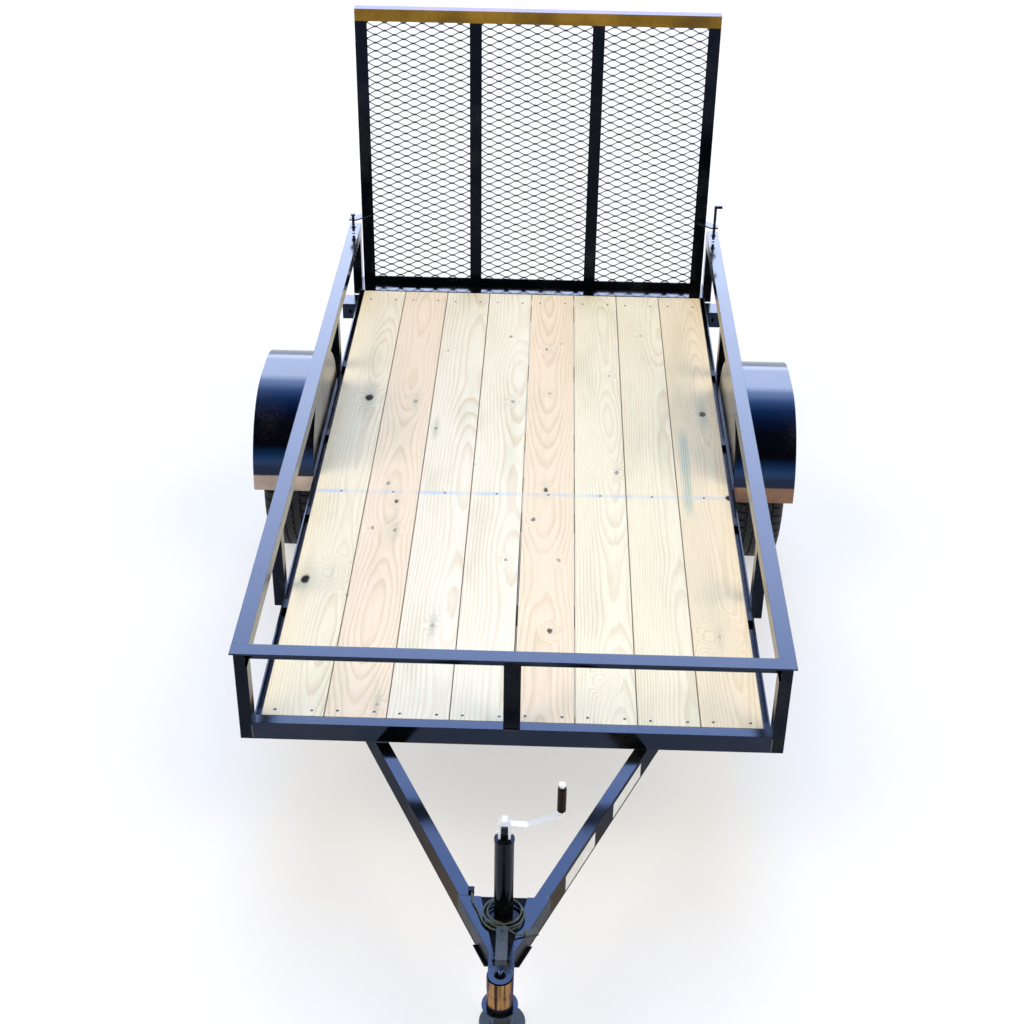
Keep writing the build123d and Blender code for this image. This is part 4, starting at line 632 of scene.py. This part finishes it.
# tyres: a profile of (place across, radius) turned round the axle line
tyre = {"pitches": 60, "slot": 0.0055, "zigzag": 0.0032, "lean": 0.20, "leanX": 0.07, "leanFrom": 0.317,
        "stops": (0.0, 0.60, 0.66, 0.90, 0.96), "inSlot": (0, 0, 1, 1, 0), "shoulder": 0.318,
        "shoulderX": 0.0495, "shoulderEase": 0.012, "ribX": 0.0505, "ribsFrom": 0.329}
tyreProfile = np.array([
    (0.0700, 0.1905), (0.0765, 0.1912), (0.0790, 0.1985), (0.0800, 0.2050), (0.0835, 0.2120),
    (0.0900, 0.2300), (0.0950, 0.2480), (0.0966, 0.2580), (0.0962, 0.2650), (0.0964, 0.2665),
    (0.0955, 0.2700), (0.0935, 0.2860), (0.0905, 0.3000), (0.0884, 0.3110), (0.0845, 0.3202),
    (0.0790, 0.3272), (0.0735, 0.3320), (0.0680, 0.3350), (0.0600, 0.3368), (0.0505, 0.3374),
    (0.0500, 0.3374), (0.0490, 0.3304), (0.0440, 0.3305), (0.0430, 0.3376),
    (0.0200, 0.3379), (0.0190, 0.3309), (0.0140, 0.3309), (0.0130, 0.3380)])


# the radius at (place across, turn) is the profile's, less the depth of a slot in each pitch of the
# shoulder; the middle ribs and their grooves swing from side to side once in each pitch
def tyreSurface(side):
    profile = np.vstack([tyreProfile, tyreProfile[::-1] * (-1, 1)])
    pitches, stops = tyre["pitches"], np.array(tyre["stops"])
    turn = 2 * pi * (np.arange(pitches)[:, None] + stops).ravel() / pitches
    inSlot = np.tile(np.array(tyre["inSlot"]), pitches)[:, None]
    swing = np.tile(np.abs(stops - 0.5) * 4 - 1, pitches)[:, None]
    place, radius = profile[:, 0], profile[:, 1]
    shoulder = np.clip((radius - tyre["shoulder"]) / tyre["shoulderEase"], 0, 1)
    shoulder = (np.abs(place) > tyre["shoulderX"]) * shoulder
    r = radius - inSlot * tyre["slot"] * shoulder
    middle = (np.abs(place) < tyre["ribX"]) & (radius > tyre["ribsFrom"])
    place = place + tyre["zigzag"] * swing * middle
    lean = tyre["lean"] * profile[:, 0] / tyre["leanX"] * (2 * pi / pitches) * (radius > tyre["leanFrom"])
    angle = turn[:, None] + lean
    return np.stack([side * wheelX + place, axleY + r * np.sin(angle), axleZ - r * np.cos(angle)], axis=-1)


lugs = {"circle": 0.05715, "count": 5, "face": 0.004}
stemPlace = (0.021, 0.156)      # out from the wheel's middle plane, and up from its axis
lugNut = [(0, 0), (0.0095, 0), (0.0125, 0.004), (0.0125, 0.014), (0.0105, 0.017), (0.0065, 0.018),
          (0, 0.018)]
valve = [(0, 0), (0.0055, 0), (0.0055, 0.004), (0.0038, 0.007), (0.0038, 0.020), (0.0044, 0.021),
         (0.0044, 0.029), (0.0030, 0.031), (0, 0.031)]
for side, name in ((-1, "left"), (1, "right")):
    surface(f"tyreCasing_{name}", [tyreSurface(side)], rubber, f"wheel_{name}", "tyre", f"tyre_{name}",
            wrapRows=True)
    angle = 2 * pi * np.arange(lugs["count"]) / lugs["count"]
    places = np.stack([np.full(lugs["count"], side * (wheelX + lugs["face"])),
                       axleY + lugs["circle"] * np.cos(angle),
                       axleZ + lugs["circle"] * np.sin(angle)], axis=-1)
    surface(f"lugNuts_{name}", [placed(turned(lugNut, 6), places, (side, 0, 0))], zincPlate,
            f"wheel_{name}", "zinc", sharp=25)
    stem = (side * (wheelX + stemPlace[0]), axleY, axleZ + stemPlace[1])
    surface(f"tyreValve_{name}", [placed(turned(valve, 12), [stem], (side, 0, 0.25))], rubber,
            f"wheel_{name}", "tyre")
print("wheels made")

# expanded metal of the gate
expanded = {"longWay": 0.077, "shortWay": 0.034, "strand": 0.0042, "bond": 0.18, "depth": 0.0048,
            "front": 2.002, "low": 0.4635, "high": 1.6965,
            "bays": ((-0.7495, -0.2795), (-0.2735, 0.2735), (0.2795, 0.7495))}


# strand k runs at height k times half the short way, swung up and down by a flat-topped wave of the
# long way; neighbours swing opposite ways and meet at the bonds, and lean back as they rise
def expandedBay(low, high):
    e = expanded
    periods = round((high - low) / e["longWay"])
    rows = round((e["high"] - e["low"]) / (e["shortWay"] / 2))
    half = (e["high"] - e["low"]) / rows
    turns = np.array([0, e["bond"] / 2, 0.5 - e["bond"] / 2, 0.5 + e["bond"] / 2, 1 - e["bond"] / 2])
    stations = np.append((np.arange(periods)[:, None] + turns).ravel(), periods)
    swing = np.clip((np.abs((stations % 1) - 0.5) * 2 - 0.5) * 2 / (1 - 2 * e["bond"]), -1, 1)
    k = np.arange(rows)[:, None]
    lift = np.where(k % 2 == 0, 1, -1) * swing * (half - e["strand"]) / 2
    x = np.broadcast_to(low + stations * (high - low) / periods, lift.shape)
    z = e["low"] + (k + 0.5) * half + lift
    y = e["front"] + e["depth"] / 2 + lift / half * (e["depth"] - e["strand"] / 2)
    w = e["strand"] / 2
    corners = np.array([(-1, -1), (1, -1), (1, 1), (-1, 1)]) * (w, w * 0.7)
    rings = np.stack([np.broadcast_to(x[..., None], (*x.shape, 4)), y[..., None] + corners[:, 1],
                      z[..., None] + corners[:, 0]], axis=-1)
    ends = rings.mean(axis=-2, keepdims=True) * np.ones((4, 1))
    return np.concatenate([ends[:, :1], rings, ends[:, -1:]], axis=1)


for number, (low, high) in enumerate(expanded["bays"]):
    surface(f"expandedMetal_{number}", [expandedBay(low, high)], meshEnamel, "gate", "black_paint",
            *(["gate_mesh"] if number == 0 else []), sharp=30)
print("gate mesh made")

# fasteners: nuts on the spring bolts and clamps, and screws in the boards
nuts = {"eyeY": (0.368, 1.004, 1.030), "eyeZ": (0.352, 0.352, 0.392), "face": 0.0281, "clampX": 0.028,
        "clampY": 0.0353, "clampRise": 0.011}
bigNut = [(0, 0), (0.0135, 0), (0.0135, 0.006), (0.0122, 0.0075), (0.0085, 0.0078), (0, 0.0078)]
smallNut = [(0, 0), (0.0088, 0), (0.0088, 0.006), (0.0078, 0.0075), (0.0052, 0.0078), (0, 0.0078)]
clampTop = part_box("spring_clamps")[1][2]
eyes = [(side * (springX + out * nuts["face"]), eyeY, eyeZ) for side in (-1, 1) for out in (-1, 1)
        for eyeY, eyeZ in zip(nuts["eyeY"], nuts["eyeZ"])]
eyeWays = [(side * out, 0, 0) for side in (-1, 1) for out in (-1, 1) for eyeY in nuts["eyeY"]]
clamps = [(side * (springX + out * nuts["clampX"]), axleY + fore * nuts["clampY"],
           clampTop - nuts["clampRise"]) for side in (-1, 1) for out in (-1, 1) for fore in (-1, 1)]
surface("springNuts", [placed(turned(bigNut, 6), eyes, eyeWays),
                       placed(turned(smallNut, 6), clamps, (0, 0, 1))], dullZinc, "trailer", "zinc", sharp=25)

screwHead = [(0, -0.002), (0.0046, -0.002), (0.0048, 0.0006), (0.0038, 0.0011), (0.0016, 0.0011),
             (0.0012, 0.0002), (0, 0.0002)]
screwX = boards["left"] + boards["pitch"] * (np.arange(boardCount) + 0.5)
screwZ = np.full(boardCount, deckZ)
screwRows = [np.stack([screwX, boards["lineY"] + boards["lineSlope"] * screwX, screwZ], axis=-1)]
for rowY in boards["endRows"]:
    for shift in (-boards["screwShift"], boards["screwShift"]):
        screwRows.append(np.stack([screwX + shift, rowY + 0.004 * np.sin(9 * screwX), screwZ], axis=-1))
surface("deckScrews", [placed(turned(screwHead, 10), np.concatenate(screwRows), (0, 0, 1))], beadEnamel,
        "trailer", "black_paint")
print("fasteners made")

# weld beads: a round bead along each line, swelling and shrinking as it was laid
beads = {"radius": 0.0034, "ripple": 0.0045, "swell": 0.16, "rows": 22, "sides": 7,
         "postX": 0.7668, "postDepth": 0.050, "postFoot": (0.424, 0.476), "posts": (0.0, 0.672, 2.235, 3.074),
         "tongueX": (0.364, 0.403), "plateX": (0.090, 0.120), "plateBack": 0.6142, "frontPost": 0.024}
postYs = [frontY + place + edge for place in beads["posts"] for edge in (0, beads["postDepth"])]
beadLines = [[(side * beads["postX"], y, z) for z in beads["postFoot"]] for side in (-1, 1) for y in postYs]
for ends, y, z in ((beads["tongueX"], frontY - 0.0008, frameZ + 0.0008),
                   (beads["plateX"], frontY - beads["plateBack"], frameZ + 0.0015)):
    beadLines += [[(side * x, y, z) for x in ends] for side in (-1, 1)]
beadLines += [[(end * beads["frontPost"], frontY - 0.0012, deckZ + 0.0008) for end in (-1, 1)]]


# ring radius along a line is the bead's, times a ripple of its own length, with closed round ends
def beadSurface(lines):
    starts, ends = (np.array([line[i] for line in lines]) for i in (0, 1))
    length = np.linalg.norm(ends - starts, axis=-1)[:, None]
    t = np.linspace(0, 1, beads["rows"])[None, :]
    rippled = 1 + beads["swell"] * np.sin(2 * pi * t * length / beads["ripple"])
    taper = np.sqrt(np.clip(1 - (2 * t - 1) ** 10, 0, 1))
    r = beads["radius"] * rippled * taper
    u, v = squareTo((ends - starts) / length)
    angle = 2 * pi * np.arange(beads["sides"]) / beads["sides"]
    spoke = np.cos(angle)[:, None] * u[:, None, :] + np.sin(angle)[:, None] * v[:, None, :]
    line = starts[:, None, :] + t[..., None] * (ends - starts)[:, None, :]
    return line[:, :, None, :] + r[..., None, None] * spoke[:, None, :, :]


surface("weldBeads", [beadSurface(beadLines)], beadEnamel, "trailer", "black_paint")
print("weld beads made")

# crank's grip: a sleeve with finger rings over the rod
grip = {"x": 0.142, "low": 0.7908, "high": 0.8652, "radius": 0.0108, "ring": 0.0007, "rings": 6}
heights = np.linspace(0, grip["high"] - grip["low"], 8 * grip["rings"] + 1)
waves = np.abs(np.sin(pi * grip["rings"] * heights / heights[-1]))
sleeve = [(0, 0), *zip(grip["radius"] + grip["ring"] * np.sqrt(waves), heights), (0, heights[-1])]
surface("crankGrip", [placed(turned(sleeve, 24), [(grip["x"], jackY, grip["low"])], (0, 0, 1))], gripPlastic,
        "trailer", "zinc", sharp=60)

# blank labels on the right tongue member's web: start and end ahead of the bed, low and high
labels = {"spans": ((0.045, 0.225), (0.340, 0.515)), "low": 0.352, "high": 0.404, "thick": 0.0005,
          "webX": 0.404, "angle": radians(25)}


# flat box with its broad face on the web, made of one ring of four corners between two closed ends
def labelGrid(start, end):
    outward = np.array((cos(labels["angle"]), -sin(labels["angle"]), 0))
    corners = np.array([(start, labels["low"]), (end, labels["low"]), (end, labels["high"]),
                        (start, labels["high"])])
    base = np.stack([labels["webX"] - tan(labels["angle"]) * corners[:, 0], frontY - corners[:, 0],
                     corners[:, 1]], axis=-1)
    rings = [base + outward * lift for lift in (0.00005, labels["thick"])]
    middle = [np.repeat(ring.mean(axis=0, keepdims=True), 4, axis=0) for ring in rings]
    return np.stack([middle[0], *rings, middle[1]])


surface("blankLabels", [labelGrid(*span) for span in labels["spans"]], labelVinyl, "trailer", "black_paint")
print("grip and labels made")
